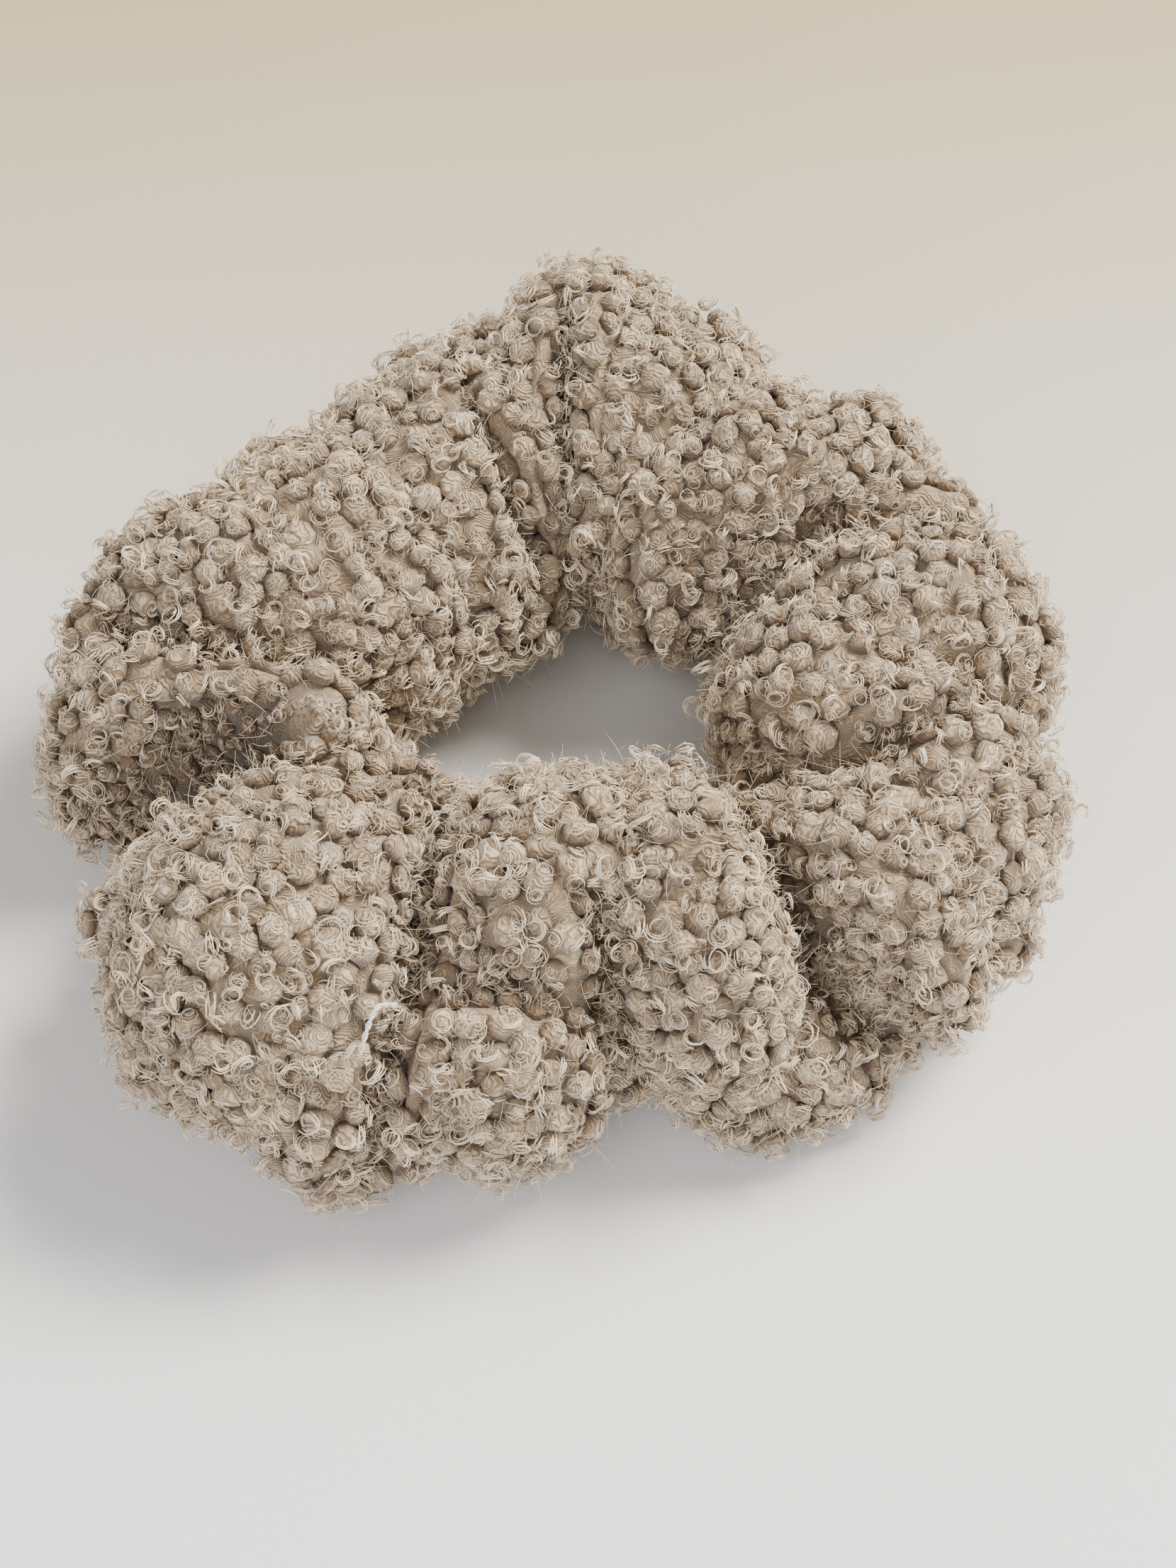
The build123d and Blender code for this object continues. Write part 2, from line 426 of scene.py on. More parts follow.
# Light colour, dark colour and ply of the thread that the cover is sewn with.
SEWING = ((0.86, 0.82, 0.74), (0.62, 0.55, 0.45), 0.4)


@dataclass(frozen=True)
class ElasticBraid:
    """White woven elastic: fine ribs along the band crossed by the wrapping yarn."""

    light: tuple = (0.88, 0.87, 0.84)
    dark: tuple = (0.62, 0.60, 0.57)
    rib: float = 0.55
    wrap: float = 0.3
    relief: float = 0.12

    def material(self) -> bpy.types.Material:
        """Return the material."""
        graph = Graph("elastic_braid", self.light, Roughness=0.7, Sheen_Weight=0.2)
        place = graph.place()
        ribs = {"Vector": place, "Scale": BANDS / (self.rib * MM)}
        rib = graph.value("ShaderNodeTexWave", "Fac", {"bands_direction": "Z"}, ribs)
        wrap = graph.noise(place, 1 / (self.wrap * MM))
        weave = rib * 0.7 + wrap * 0.3
        graph.feed("Base Color", graph.mix(weave, self.dark, self.light))
        graph.bump(weave, self.relief * MM)
        return graph.material


# ---- Mesh work -----------------------------------------------------------------------------------

def new_object(name: str, mesh: bpy.types.Mesh, material: bpy.types.Material) -> bpy.types.Object:
    """Put a mesh into the scene with its material."""
    piece = bpy.data.objects.new(name, mesh)
    bpy.context.scene.collection.objects.link(piece)
    mesh.materials.clear()
    mesh.materials.append(material)
    return piece


def mesh_from_faces(name: str, points: np.ndarray, faces: Sequence[np.ndarray]) -> bpy.types.Mesh:
    """Make a smooth-shaded mesh.

    Args:
        name: The mesh's name.
        points: Its points, one row each.
        faces: Arrays of faces, each with rows of one length.

    Returns:
        The mesh.
    """
    mesh = bpy.data.meshes.new(name)
    corners = np.concatenate([rows.ravel() for rows in faces]).astype(np.int32)
    sizes = np.concatenate([np.full(len(rows), rows.shape[1]) for rows in faces])
    starts = (np.cumsum(sizes) - sizes).astype(np.int32)
    mesh.vertices.add(len(points))
    mesh.vertices.foreach_set("co", points.astype(np.float32).ravel())
    mesh.loops.add(len(corners))
    mesh.loops.foreach_set("vertex_index", corners)
    mesh.polygons.add(len(sizes))
    mesh.polygons.foreach_set("loop_start", starts)
    mesh.update(calc_edges=True)
    mesh.polygons.foreach_set("use_smooth", np.ones(len(sizes), bool))
    return mesh


def read_rows(collection: object, name: str, width: int, kind: type = float) -> np.ndarray:
    """Return one property of all the points, faces or corners of a mesh, as rows of a width."""
    rows = np.empty(len(collection) * width, np.int32 if kind is int else np.float32)
    collection.foreach_get(name, rows)
    return rows.reshape(-1, width)


def set_numbers(mesh: bpy.types.Mesh, name: str, numbers: np.ndarray) -> None:
    """Store one number for each point of a mesh."""
    attribute = mesh.attributes.get(name) or mesh.attributes.new(name, "FLOAT", "POINT")
    attribute.data.foreach_set("value", numbers.astype(np.float32))


def set_uv(mesh: bpy.types.Mesh, corners: np.ndarray) -> None:
    """Give a mesh its one UV map, a place for each face corner."""
    layer = mesh.uv_layers.new(name="OFBake")
    layer.data.foreach_set("uv", corners.astype(np.float32).ravel())


def unit(vectors: np.ndarray) -> np.ndarray:
    """Return vectors at length 1."""
    return vectors / np.maximum(np.linalg.norm(vectors, axis=-1, keepdims=True), 1e-12)


def turned(places: np.ndarray, centre: np.ndarray, turn: np.ndarray) -> np.ndarray:
    """Return rows of places, each row turned about its centre by a rotation vector in radians."""
    angle = np.linalg.norm(turn, axis=-1)[:, None, None]
    axis = unit(turn)[:, None]
    arm = places - centre[:, None]
    beside = np.cross(np.broadcast_to(axis, arm.shape), arm)
    along = axis * np.sum(axis * arm, axis=-1, keepdims=True)
    return centre[:, None] + arm * np.cos(angle) + beside * np.sin(angle) + along * (1 - np.cos(angle))


def evaluated_mesh(piece: bpy.types.Object) -> bpy.types.Mesh:
    """Return a piece's mesh with its modifiers applied."""
    graph = bpy.context.evaluated_depsgraph_get()
    return bpy.data.meshes.new_from_object(piece.evaluated_get(graph))


def ripple(points: np.ndarray, wavelength: float, rng: np.random.Generator) -> np.ndarray:
    """Return smooth noise from about -1 to 1 over points, as a few crossed waves."""
    waves, shortest, longest, usual_sum = 14, 0.6, 1.6, 4.5
    total = np.zeros(len(points))
    for _ in range(waves):
        direction = unit(rng.normal(size=3))
        frequency = TAU / (wavelength * rng.uniform(shortest, longest))
        total += np.sin(points @ direction * frequency + rng.uniform(0, TAU))
    return total / usual_sum


def section_frame(paths: np.ndarray, toward: np.ndarray) -> tuple[np.ndarray, np.ndarray]:
    """Return the two directions across each path at each ring, the first one towards a direction."""
    tangent = unit(np.gradient(paths, axis=1))
    normal = unit(toward - np.sum(toward * tangent, axis=-1, keepdims=True) * tangent)
    return normal, np.cross(tangent, normal)


# Where the walls and the two end caps of a tube lie in its own cell of the UV map.
WALL_ALONG = (0.04, 0.90)
WALL_AROUND = (0.04, 0.96)
FIRST_CAP = (0.95, 0.2)
LAST_CAP = (0.95, 0.7)
CAP_RADIUS = 0.02


@dataclass
class Tubes:
    """A batch of thin tubes that all have the same number of rings and sides.

    The points are (tube, ring, side, xyz), and each number that a ring carries is (tube, ring).
    """

    points: np.ndarray
    numbers: dict[str, np.ndarray]

    @classmethod
    def sweep(cls, paths: np.ndarray, radii: np.ndarray, toward: np.ndarray, sides: int,
              **numbers: np.ndarray) -> "Tubes":
        """Sweep a round section along each path.

        Args:
            paths: Points of each tube's middle line, as (tube, ring, xyz).
            radii: Radius at each ring, as (tube, ring).
            toward: A direction at each ring that fixes the section's first side.
            sides: Sides of the section.
            numbers: What each ring carries.

        Returns:
            The tubes.
        """
        normal, binormal = section_frame(paths, toward)
        turns = (TAU * np.arange(sides) / sides)[:, None]
        spokes = normal[:, :, None] * np.cos(turns) + binormal[:, :, None] * np.sin(turns)
        points = paths[:, :, None] + spokes * radii[:, :, None, None]
        return cls(points, {name: np.broadcast_to(rows, radii.shape) for name, rows in numbers.items()})

    def only(self, chosen: np.ndarray) -> "Tubes":
        """Return the chosen tubes."""
        return Tubes(self.points[chosen], {name: rows[chosen] for name, rows in self.numbers.items()})

    def faces(self, first: int) -> list[np.ndarray]:
        """Return the side faces and end caps, with points numbered from first."""
        count, rings, sides = self.points.shape[:3]
        index = first + np.arange(count * rings * sides).reshape(count, rings, sides)
        near, far = index[:, :-1], index[:, 1:]
        walls = np.stack([near, np.roll(near, -1, axis=2), np.roll(far, -1, axis=2), far], axis=-1)
        return [walls.reshape(-1, 4), index[:, 0, ::-1], index[:, -1]]

    def uv(self, first_cell: int, grid: int) -> list[np.ndarray]:
        """Return each tube's own cell in a square grid, as the corners of its walls and of its caps."""
        count, rings, sides = self.points.shape[:3]
        cell = first_cell + np.arange(count)
        corner = np.stack([cell % grid, cell // grid], axis=-1) / grid
        along = np.linspace(*WALL_ALONG, rings)
        around = np.linspace(*WALL_AROUND, sides + 1)
        near, far = along[:-1, None], along[1:, None]
        low, high = around[None, :-1], around[None, 1:]
        shape = (rings - 1, sides)
        spots = [(near, low), (near, high), (far, high), (far, low)]
        walls = np.stack([np.stack([np.broadcast_to(u, shape), np.broadcast_to(v, shape)], axis=-1)
                          for u, v in spots], axis=-2)
        walls = corner[:, None, None, None] + walls[None] / grid
        turns = TAU * np.arange(sides) / sides
        disc = np.stack([np.cos(turns), np.sin(turns)], axis=-1) * CAP_RADIUS
        first_cap = corner[:, None] + (disc[::-1] + FIRST_CAP) / grid
        last_cap = corner[:, None] + (disc + LAST_CAP) / grid
        return [walls.reshape(-1, 2), first_cap.reshape(-1, 2), last_cap.reshape(-1, 2)]


def tubes_mesh(name: str, batches: Sequence[Tubes], grid: int) -> bpy.types.Mesh:
    """Make one mesh of several batches of tubes, with the numbers that they carry."""
    points, faces, corners, first, cell = [], [], [], 0, 0
    for batch in batches:
        points.append(batch.points.reshape(-1, 3))
        faces.extend(batch.faces(first))
        corners.extend(batch.uv(cell, grid))
        first += len(points[-1])
        cell += len(batch.points)
    mesh = mesh_from_faces(name, np.concatenate(points), faces)
    set_uv(mesh, np.concatenate(corners))
    for number in batches[0].numbers:
        rows = [np.repeat(batch.numbers[number].ravel(), batch.points.shape[2]) for batch in batches]
        set_numbers(mesh, number, np.concatenate(rows))
    return mesh


def stretch_between(piece: bpy.types.Object, ring: "Ring", panel: int, shares: np.ndarray) -> None:
    """Let a piece stretch between a panel's two bodies.

    Args:
        piece: The piece.
        ring: The ring that it lies round.
        panel: Which panel it belongs to.
        shares: How far each point follows the second body, from 0 to 1.
    """
    radius, height = 35.0, 20.0
    start, end = (ring.point(angle, radius, height) for angle in ring.angles[panel:panel + 2])
    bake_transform(piece, ring.bodies[panel], ring.bodies[panel + 1], start=start, end=end)
    set_numbers(piece.data, "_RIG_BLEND", shares)


# ---- Cover: gathered cloth -----------------------------------------------------------------------

@dataclass(frozen=True)
class Lobe:
    """One swelling of the gathered cloth: an ellipsoid placed round the ring."""

    angle: float
    radius: float
    height: float
    along: float
    across: float
    tall: float
    turn: float = 0.0
    lean: float = 0.0


# How much a difference in height counts against a level one, near a fold and near a worn place.
FOLD_RISE = 0.35
WORN_RISE = 0.3
# Half width of a fold, as it is pressed in and as its painted shade spreads, against the width that its
# crease is given.
FOLD_SPREAD = 1.4
# Depth of a crease, in millimetres, from which its fold gets the full painted shade.
DARK_DEPTH = 5.0


@dataclass(frozen=True)
class Crease:
    """A fold line pressed into the cloth, through places given as (angle, radius, height)."""

    places: tuple
    width: float
    depth: float

    def away(self, place: np.ndarray, ring: Ring) -> np.ndarray:
        """Return each point's distance from the fold line, against the fold's half width."""
        route = np.array([ring.point(*spot) for spot in self.places])
        return distance_to_route(place, route, FOLD_RISE) / (FOLD_SPREAD * self.width * MM)


LOBES = (
    # back: two tall swellings either side of a sharp fold
    Lobe(100, 34.5, 21.5, 8.5, 17.0, 19.0),
    Lobe(84, 39.5, 24.0, 14.0, 19.0, 21.0),
    Lobe(68, 37.0, 22.5, 12.0, 18.0, 20.5),
    # back right: a ridge and a bulge that overhang the fold behind them
    Lobe(50, 33.0, 23.0, 9.0, 17.0, 17.5),
    Lobe(38, 42.0, 21.5, 9.5, 15.5, 17.0),
    Lobe(25, 46.0, 18.5, 8.0, 12.5, 15.0),
    # right: the broad swelling and the two beyond its slanting fold
    Lobe(5, 43.0, 20.5, 12.5, 17.0, 19.5),
    Lobe(349, 34.0, 21.5, 11.0, 12.5, 17.0),
    Lobe(338, 47.0, 20.5, 9.5, 15.5, 19.0),
    Lobe(328, 48.5, 19.0, 9.0, 15.0, 17.5),
    Lobe(318, 48.0, 19.0, 9.5, 14.5, 18.0),
    # front right, beside the closing seam: a flap over a low outer swelling
    Lobe(292, 38.5, 22.0, 9.5, 17.5, 19.5),
    Lobe(303, 49.5, 10.5, 14.0, 10.0, 9.5),
    # front: a high inner ridge over an outer swelling
    Lobe(272, 35.5, 22.5, 15.0, 16.0, 18.0),
    Lobe(263, 47.0, 17.0, 12.0, 13.0, 15.0),
    # front left
    Lobe(232, 48.0, 22.0, 17.5, 20.5, 20.5),
    Lobe(246, 51.0, 17.0, 12.0, 16.0, 16.5),
    Lobe(235, 34.0, 22.5, 8.0, 10.5, 15.0),
    # left: a narrow ridge turned along the ring, over the outer side
    Lobe(202, 35.5, 23.5, 6.5, 14.0, 15.0, turn=-38),
    Lobe(186, 46.0, 17.5, 10.0, 13.5, 15.0),
    Lobe(204, 46.0, 12.5, 12.0, 12.5, 12.0),
    # upper left: one long smooth swelling
    Lobe(150, 30.5, 21.5, 18.0, 17.0, 19.5),
    Lobe(166, 41.0, 21.5, 11.0, 15.0, 18.0),
    Lobe(176, 46.5, 20.0, 9.0, 12.5, 15.5),
    Lobe(126, 29.5, 22.0, 13.0, 17.0, 19.5),
    Lobe(113, 34.5, 22.0, 8.5, 15.0, 19.0),
    Lobe(112, 23.0, 20.5, 9.0, 10.0, 15.0),
)

CREASES = (
    Crease(((87, 43, 40), (87, 32, 40), (86, 20, 36), (87, 15, 28)), 1.5, 6.0),
    Crease(((109, 43, 32), (110, 36, 34), (110, 29, 34), (104, 19, 32), (94, 12, 26)), 1.5, 5.0),
    Crease(((68, 43, 38), (52, 28, 36), (34, 21, 32)), 2.6, 1.1),
    Crease(((15, 21, 27), (21, 26, 30), (24, 34, 32), (22, 41, 32), (18, 48, 30)), 3.0, 7.0),
    Crease(((18, 48, 30), (20, 56, 26)), 1.8, 3.0),
    Crease(((327, 25, 30), (325, 33, 33), (331, 41, 34), (338, 47, 34), (353, 58, 26)), 1.8, 4.5),
    Crease(((307, 34, 28), (306, 44, 28), (307, 54, 24), (311, 60, 18)), 2.6, 5.0),
    Crease(((277, 42, 34), (277, 47, 28), (278, 52, 16)), 2.0, 3.5),
    Crease(((253, 50, 30), (261, 48.5, 31), (270, 49, 30), (276, 51, 27)), 1.8, 1.6),
    Crease(((246, 31, 34), (251, 45, 34), (252, 53, 30), (252, 61, 22), (251, 66, 12)), 1.7, 6.0),
    Crease(((238, 28, 33), (226, 34, 34), (215, 44, 32), (210, 53, 26), (207, 60, 18)), 1.8, 4.5),
    Crease(((203, 21, 26), (192, 29, 30), (186, 35, 32), (182, 44, 34), (178, 52, 32)), 2.0, 5.5),
    Crease(((206, 38, 28), (201, 44, 27), (200, 50, 26), (200, 57, 22)), 4.2, 6.5),
)


@dataclass(frozen=True)
class Worn:
    """A stretch of the cloth where the pile is thin and the knit shows, through (angle, radius, height)."""

    places: tuple
    width: float


WORN = (
    Worn(((197, 44, 36), (201, 41, 38), (206, 34, 39), (212, 28, 38)), 1.1),
    Worn(((249, 56, 38), (248, 60, 36), (246, 64, 33), (244, 67, 30)), 1.0),
    Worn(((302, 47, 37), (305, 53, 35), (306, 57, 33), (308, 62, 30)), 1.0),
    Worn(((26, 28, 41), (24, 31, 41), (22, 35, 41)), 1.0),
    Worn(((156, 24, 38), (154, 25, 38)), 1.1),
    Worn(((165, 19, 37), (163, 21, 37)), 1.0),
    Worn(((124, 29, 39), (124, 33, 40)), 1.0),
    Worn(((259, 59, 31), (259, 61, 29)), 1.0),
    Worn(((261, 43, 38), (261, 46, 38)), 0.9),
)


def wear(place: np.ndarray, ring: Ring) -> np.ndarray:
    """Return how worn the cloth is at each place, from 0 to 1."""
    worn = np.zeros(len(place))
    for patch in WORN:
        route = np.array([ring.point(*spot) for spot in patch.places])
        away = distance_to_route(place, route, WORN_RISE) / (patch.width * MM)
        worn = np.maximum(worn, np.exp(-away ** 4))
    return worn


def folds(place: np.ndarray, ring: Ring) -> np.ndarray:
    """Return how deep in a fold of the cloth each place is, from 0 to 1; it shrinks the tufts there and sets
    how much painted shade darkens the cloth and pile.
    """
    shares = [min(1, crease.depth / DARK_DEPTH) * np.exp(-(crease.away(place, ring) ** 4))
              for crease in CREASES]
    return np.max(shares, axis=0)


@dataclass
class Cover:
    """The cloth of the cover: one gathered tube, cut into a panel between every two bodies.

    Its swells are uneven cloth, as (height, wavelength). A crease bites into the cloth and raises a lip
    beside it. No point comes nearer to the tube's heart than the least distance, and towards the elastic
    the cloth leaves room for it.
    """

    ring: Ring
    voxel: float = 0.9
    core_step: float = 10.0
    core_rise: float = 3.5
    core: tuple = (8.0, 12.0, 12.5)
    tall_lobe: float = 15.0
    heart: tuple = (38.0, 18.0)
    swells: tuple = ((0.75, 11.0), (0.35, 5.0))
    seed: int = 11
    sole: float = 1.2
    bite: float = 1.8
    lip: float = 0.2
    lip_place: float = 1.8
    lip_narrowness: float = 3.0
    cut_reach: float = 3.0
    least: float = 4.0
    elastic: tuple = (31.0, 20.5)
    elastic_room: float = 8.5
    flat_width: float = 115.0
    flat_length: float = 400.0
    mesh: bpy.types.Mesh = field(init=False)

    def ellipsoid(self, lobe: Lobe, rows: int = 18, columns: int = 28) -> tuple[np.ndarray, np.ndarray]:
        """Return the points and faces of one lobe."""
        polar = np.linspace(0.02, math.pi - 0.02, rows)[:, None]
        turns = (TAU * np.arange(columns) / columns)[None]
        ball = np.stack([np.sin(polar) * np.cos(turns), np.sin(polar) * np.sin(turns),
                         np.broadcast_to(np.cos(polar), (rows, columns))], axis=-1).reshape(-1, 3)
        local = ball * np.array([lobe.across, lobe.along, lobe.tall]) * MM
        spin = (Matrix.Rotation(math.radians(lobe.angle + lobe.turn), 3, "Z")
                @ Matrix.Rotation(math.radians(lobe.lean), 3, "Y"))
        place = self.ring.point(lobe.angle, lobe.radius, lobe.height)
        points = local @ np.array(spin).T + np.array(place)
        index = np.arange(rows * columns).reshape(rows, columns)
        near, far = index[:-1], index[1:]
        walls = np.stack([near, far, np.roll(far, -1, axis=1), np.roll(near, -1, axis=1)], axis=-1)
        return points, [walls.reshape(-1, 4), index[:1], index[-1:, ::-1]]

    def core_lobes(self) -> list[Lobe]:
        """Return the small lobes that join the tube along its folds."""
        along, across, tall = self.core
        gathers = sorted((lobe.angle, lobe.radius) for lobe in LOBES if lobe.tall > self.tall_lobe)
        angles = np.array([angle for angle, _ in gathers])
        radii = np.array([radius for _, radius in gathers])
        turn = np.concatenate([angles - 360, angles, angles + 360])
        radii = np.tile(radii, 3)
        steps = np.arange(0, 360, self.core_step)
        middle = np.interp(steps, turn, radii)
        height = tall + self.core_rise
        return [Lobe(angle, radius, height, along, across, tall) for angle, radius in zip(steps, middle)]

    def build(self) -> None:
        """Join the lobes into one skin, soften it and press its creases and sole."""
        points, faces, first = [], [], 0
        for lobe in (*LOBES, *self.core_lobes()):
            lobe_points, lobe_faces = self.ellipsoid(lobe)
            points.append(lobe_points)
            faces.extend(rows + first for rows in lobe_faces)
            first += len(lobe_points)
        mesh = mesh_from_faces("cover_lobes", np.concatenate(points), faces)
        source = bpy.data.objects.new("cover_lobes", mesh)
        bpy.context.scene.collection.objects.link(source)
        remesh = source.modifiers.new("skin", "REMESH")
        remesh.mode = "VOXEL"
        remesh.voxel_size = self.voxel * MM
        soften = source.modifiers.new("soften", "SMOOTH")
        soften.factor = 0.5
        soften.iterations = 5
        self.mesh = evaluated_mesh(source)
        bpy.data.objects.remove(source)
        place = self.press(read_rows(self.mesh.vertices, "co", 3))
        self.mesh.vertices.foreach_set("co", place.ravel())
        self.mesh.update()

    def press(self, place: np.ndarray) -> np.ndarray:
        """Return the skin's points with uneven cloth, creases and a flat sole."""
        rng = np.random.default_rng(self.seed)
        angles = self.ring.angles_of(place)
        heart = np.array([self.ring.point(angle, *self.heart) for angle in angles])
        outward = unit(place - heart)
        swell = sum(height * ripple(place, wavelength * MM, rng) for height, wavelength in self.swells)
        place = place + outward * (swell * MM)[:, None]
        place, reach = place - heart, np.linalg.norm(place - heart, axis=1)
        outward = unit(place)
        push = np.zeros(len(place))
        for crease in CREASES:
            away = crease.away(place + heart, self.ring)
            lip = self.lip * np.exp(-((away - self.lip_place) ** 2) * self.lip_narrowness)
            push += crease.depth * (lip - self.bite * np.exp(-away**4))
        loop = np.array([self.ring.point(angle, *self.elastic) for angle in angles]) - heart
        toward = np.clip(np.sum(outward * unit(loop), axis=1), 0, 1)
        reach = np.maximum(reach + push * MM, (self.least + self.elastic_room * toward) * MM)
        place = heart + outward * reach[:, None]
        return rest_on_floor(place, self.sole * MM, self.sole * MM)

    def panels(self) -> list[tuple[np.ndarray, list[np.ndarray]]]:
        """Cut the skin at each body's angle and return the points and faces of each panel."""
        whole = bmesh.new()
        whole.from_mesh(self.mesh)
        centre = self.ring.centre
        reach = self.cut_reach * self.voxel * MM
        for turn in np.radians(self.ring.angles[:-1]):
            along = Vector((-math.sin(turn), math.cos(turn), 0.0))
            out = Vector((math.cos(turn), math.sin(turn), 0.0))
            near = [face for face in whole.faces
                    if abs((face.calc_center_median() - centre).dot(along)) < reach
                    and (face.calc_center_median() - centre).dot(out) > 0]
            edges = list({edge for face in near for edge in face.edges})
            points = list({point for face in near for point in face.verts})
            bmesh.ops.bisect_plane(whole, geom=points + edges + near, plane_co=centre, plane_no=along)
        mesh = bpy.data.meshes.new("cut_cover")
        whole.to_mesh(mesh)
        whole.free()
        points = read_rows(mesh.vertices, "co", 3)
        starts = read_rows(mesh.polygons, "loop_start", 1, int)[:, 0]
        sizes = read_rows(mesh.polygons, "loop_total", 1, int)[:, 0]
        corners = read_rows(mesh.loops, "vertex_index", 1, int)[:, 0]
        middles = read_rows(mesh.polygons, "center", 3)
        panel = self.ring.panel_of(self.ring.angles_of(middles))
        cut = []
        for number in range(len(self.ring.angles) - 1):
            rows = [corners[starts[(panel == number) & (sizes == size)][:, None] + np.arange(size)]
                    for size in np.unique(sizes)]
            used, places = np.unique(np.concatenate([part.ravel() for part in rows]), return_inverse=True)
            ends = np.cumsum([part.size for part in rows])[:-1]
            faces = [part.reshape(old.shape) for part, old in zip(np.split(places, ends), rows)]
            cut.append((points[used], [part for part in faces if len(part)]))
        return cut

    def dress(self) -> list[bpy.types.Object]:
        """Make the panels of knit, each stretching between its two bodies."""
        cloth = KnitBacking().material()
        cut = self.panels()
        areas = []
        pieces = []
        for number, (points, faces) in enumerate(cut):
            mesh = mesh_from_faces("knit_panel", points, faces)
            piece = new_object(f"knit_panel_{number + 1:02d}", mesh, cloth)
            areas.append(sum(read_rows(piece.data.polygons, "area", 1)[:, 0]))
            share = self.ring.share(self.ring.angles_of(points), number)
            stretch_between(piece, self.ring, number, share)
            set_numbers(piece.data, "worn", wear(points, self.ring))
            # How deep in a fold each point is, which paints shade into the knit.
            set_numbers(piece.data, "folded", folds(points, self.ring))
            pieces.append(piece)
        for piece, area in zip(pieces, areas):
            length = self.flat_length * area / sum(areas)
            length * MM
        ends = ["cover_seam_end_a", *(f"cover_{body}" for body in self.ring.bodies[1:-1]), "cover_seam_end_b"]
        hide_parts(*ends[:2])
        for piece, node in zip(pieces[1:], ends[2:]):
            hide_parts(node)
        return pieces


def rest_on_floor(place: np.ndarray, clearance: float, give: float) -> np.ndarray:
    """Press what hangs lower than clearance + give softly together, so that it stays above clearance."""
    place = place.copy()
    top = clearance + give
    low = place[..., 2] < top
    place[low, 2] = clearance + give * np.exp((place[low, 2] - top) / give)
    return place


def distance_to_route(place: np.ndarray, route: np.ndarray, rise: float = 1.0) -> np.ndarray:
    """Return each point's distance to a line through the route's points.

    Args:
        place: The points.
        route: The line's points.
        rise: How much a difference in height counts, against a level one.

    Returns:
        One distance for each point.
    """
    weigh = np.array([1.0, 1.0, rise])
    place, route = place * weigh, route * weigh
    best = np.full(len(place), np.inf)
    for start, end in zip(route[:-1], route[1:]):
        run = end - start
        part = np.clip((place - start) @ run / (run @ run), 0, 1)
        best = np.minimum(best, np.linalg.norm(place - start - part[:, None] * run, axis=1))
    return best


# ---- Pile: the tufts of the cloth and their curls ------------------------------------------------

class CurlKind(Enum):
    """Shapes that a lock of the pile curls into."""

    SWIRL = "swirl laid over its tuft"
    RING = "open ring"
    HOOK = "upright hook"


@dataclass(frozen=True)
class CurlShape:
    """Sizes of one kind of curl: a pair gives the smallest and the largest, in millimetres or degrees."""

    share: float
    radius: tuple
    lock: tuple
    turns: tuple
    lean: tuple
    lift: tuple
    tighten: float
    rise: float
    tousle: float
    cling: bool


CURLS = {
    CurlKind.SWIRL: CurlShape(share=0.60, radius=(0.8, 1.7), lock=(0.30, 0.65), turns=(1.0, 1.6),
                              lean=(0, 35), lift=(0.0, 0.4), tighten=0.75, rise=0.5, tousle=0.26,
                              cling=True),
    CurlKind.RING: CurlShape(share=0.26, radius=(0.8, 1.4), lock=(0.26, 0.42), turns=(1.0, 1.4),
                             lean=(5, 45), lift=(0.2, 0.7), tighten=0.20, rise=0.5, tousle=0.12,
                             cling=False),
    CurlKind.HOOK: CurlShape(share=0.14, radius=(0.8, 1.2), lock=(0.24, 0.38), turns=(0.6, 0.9),
                             lean=(55, 92), lift=(-0.2, 0.2), tighten=0.15, rise=0.4, tousle=0.12,
                             cling=False),
}


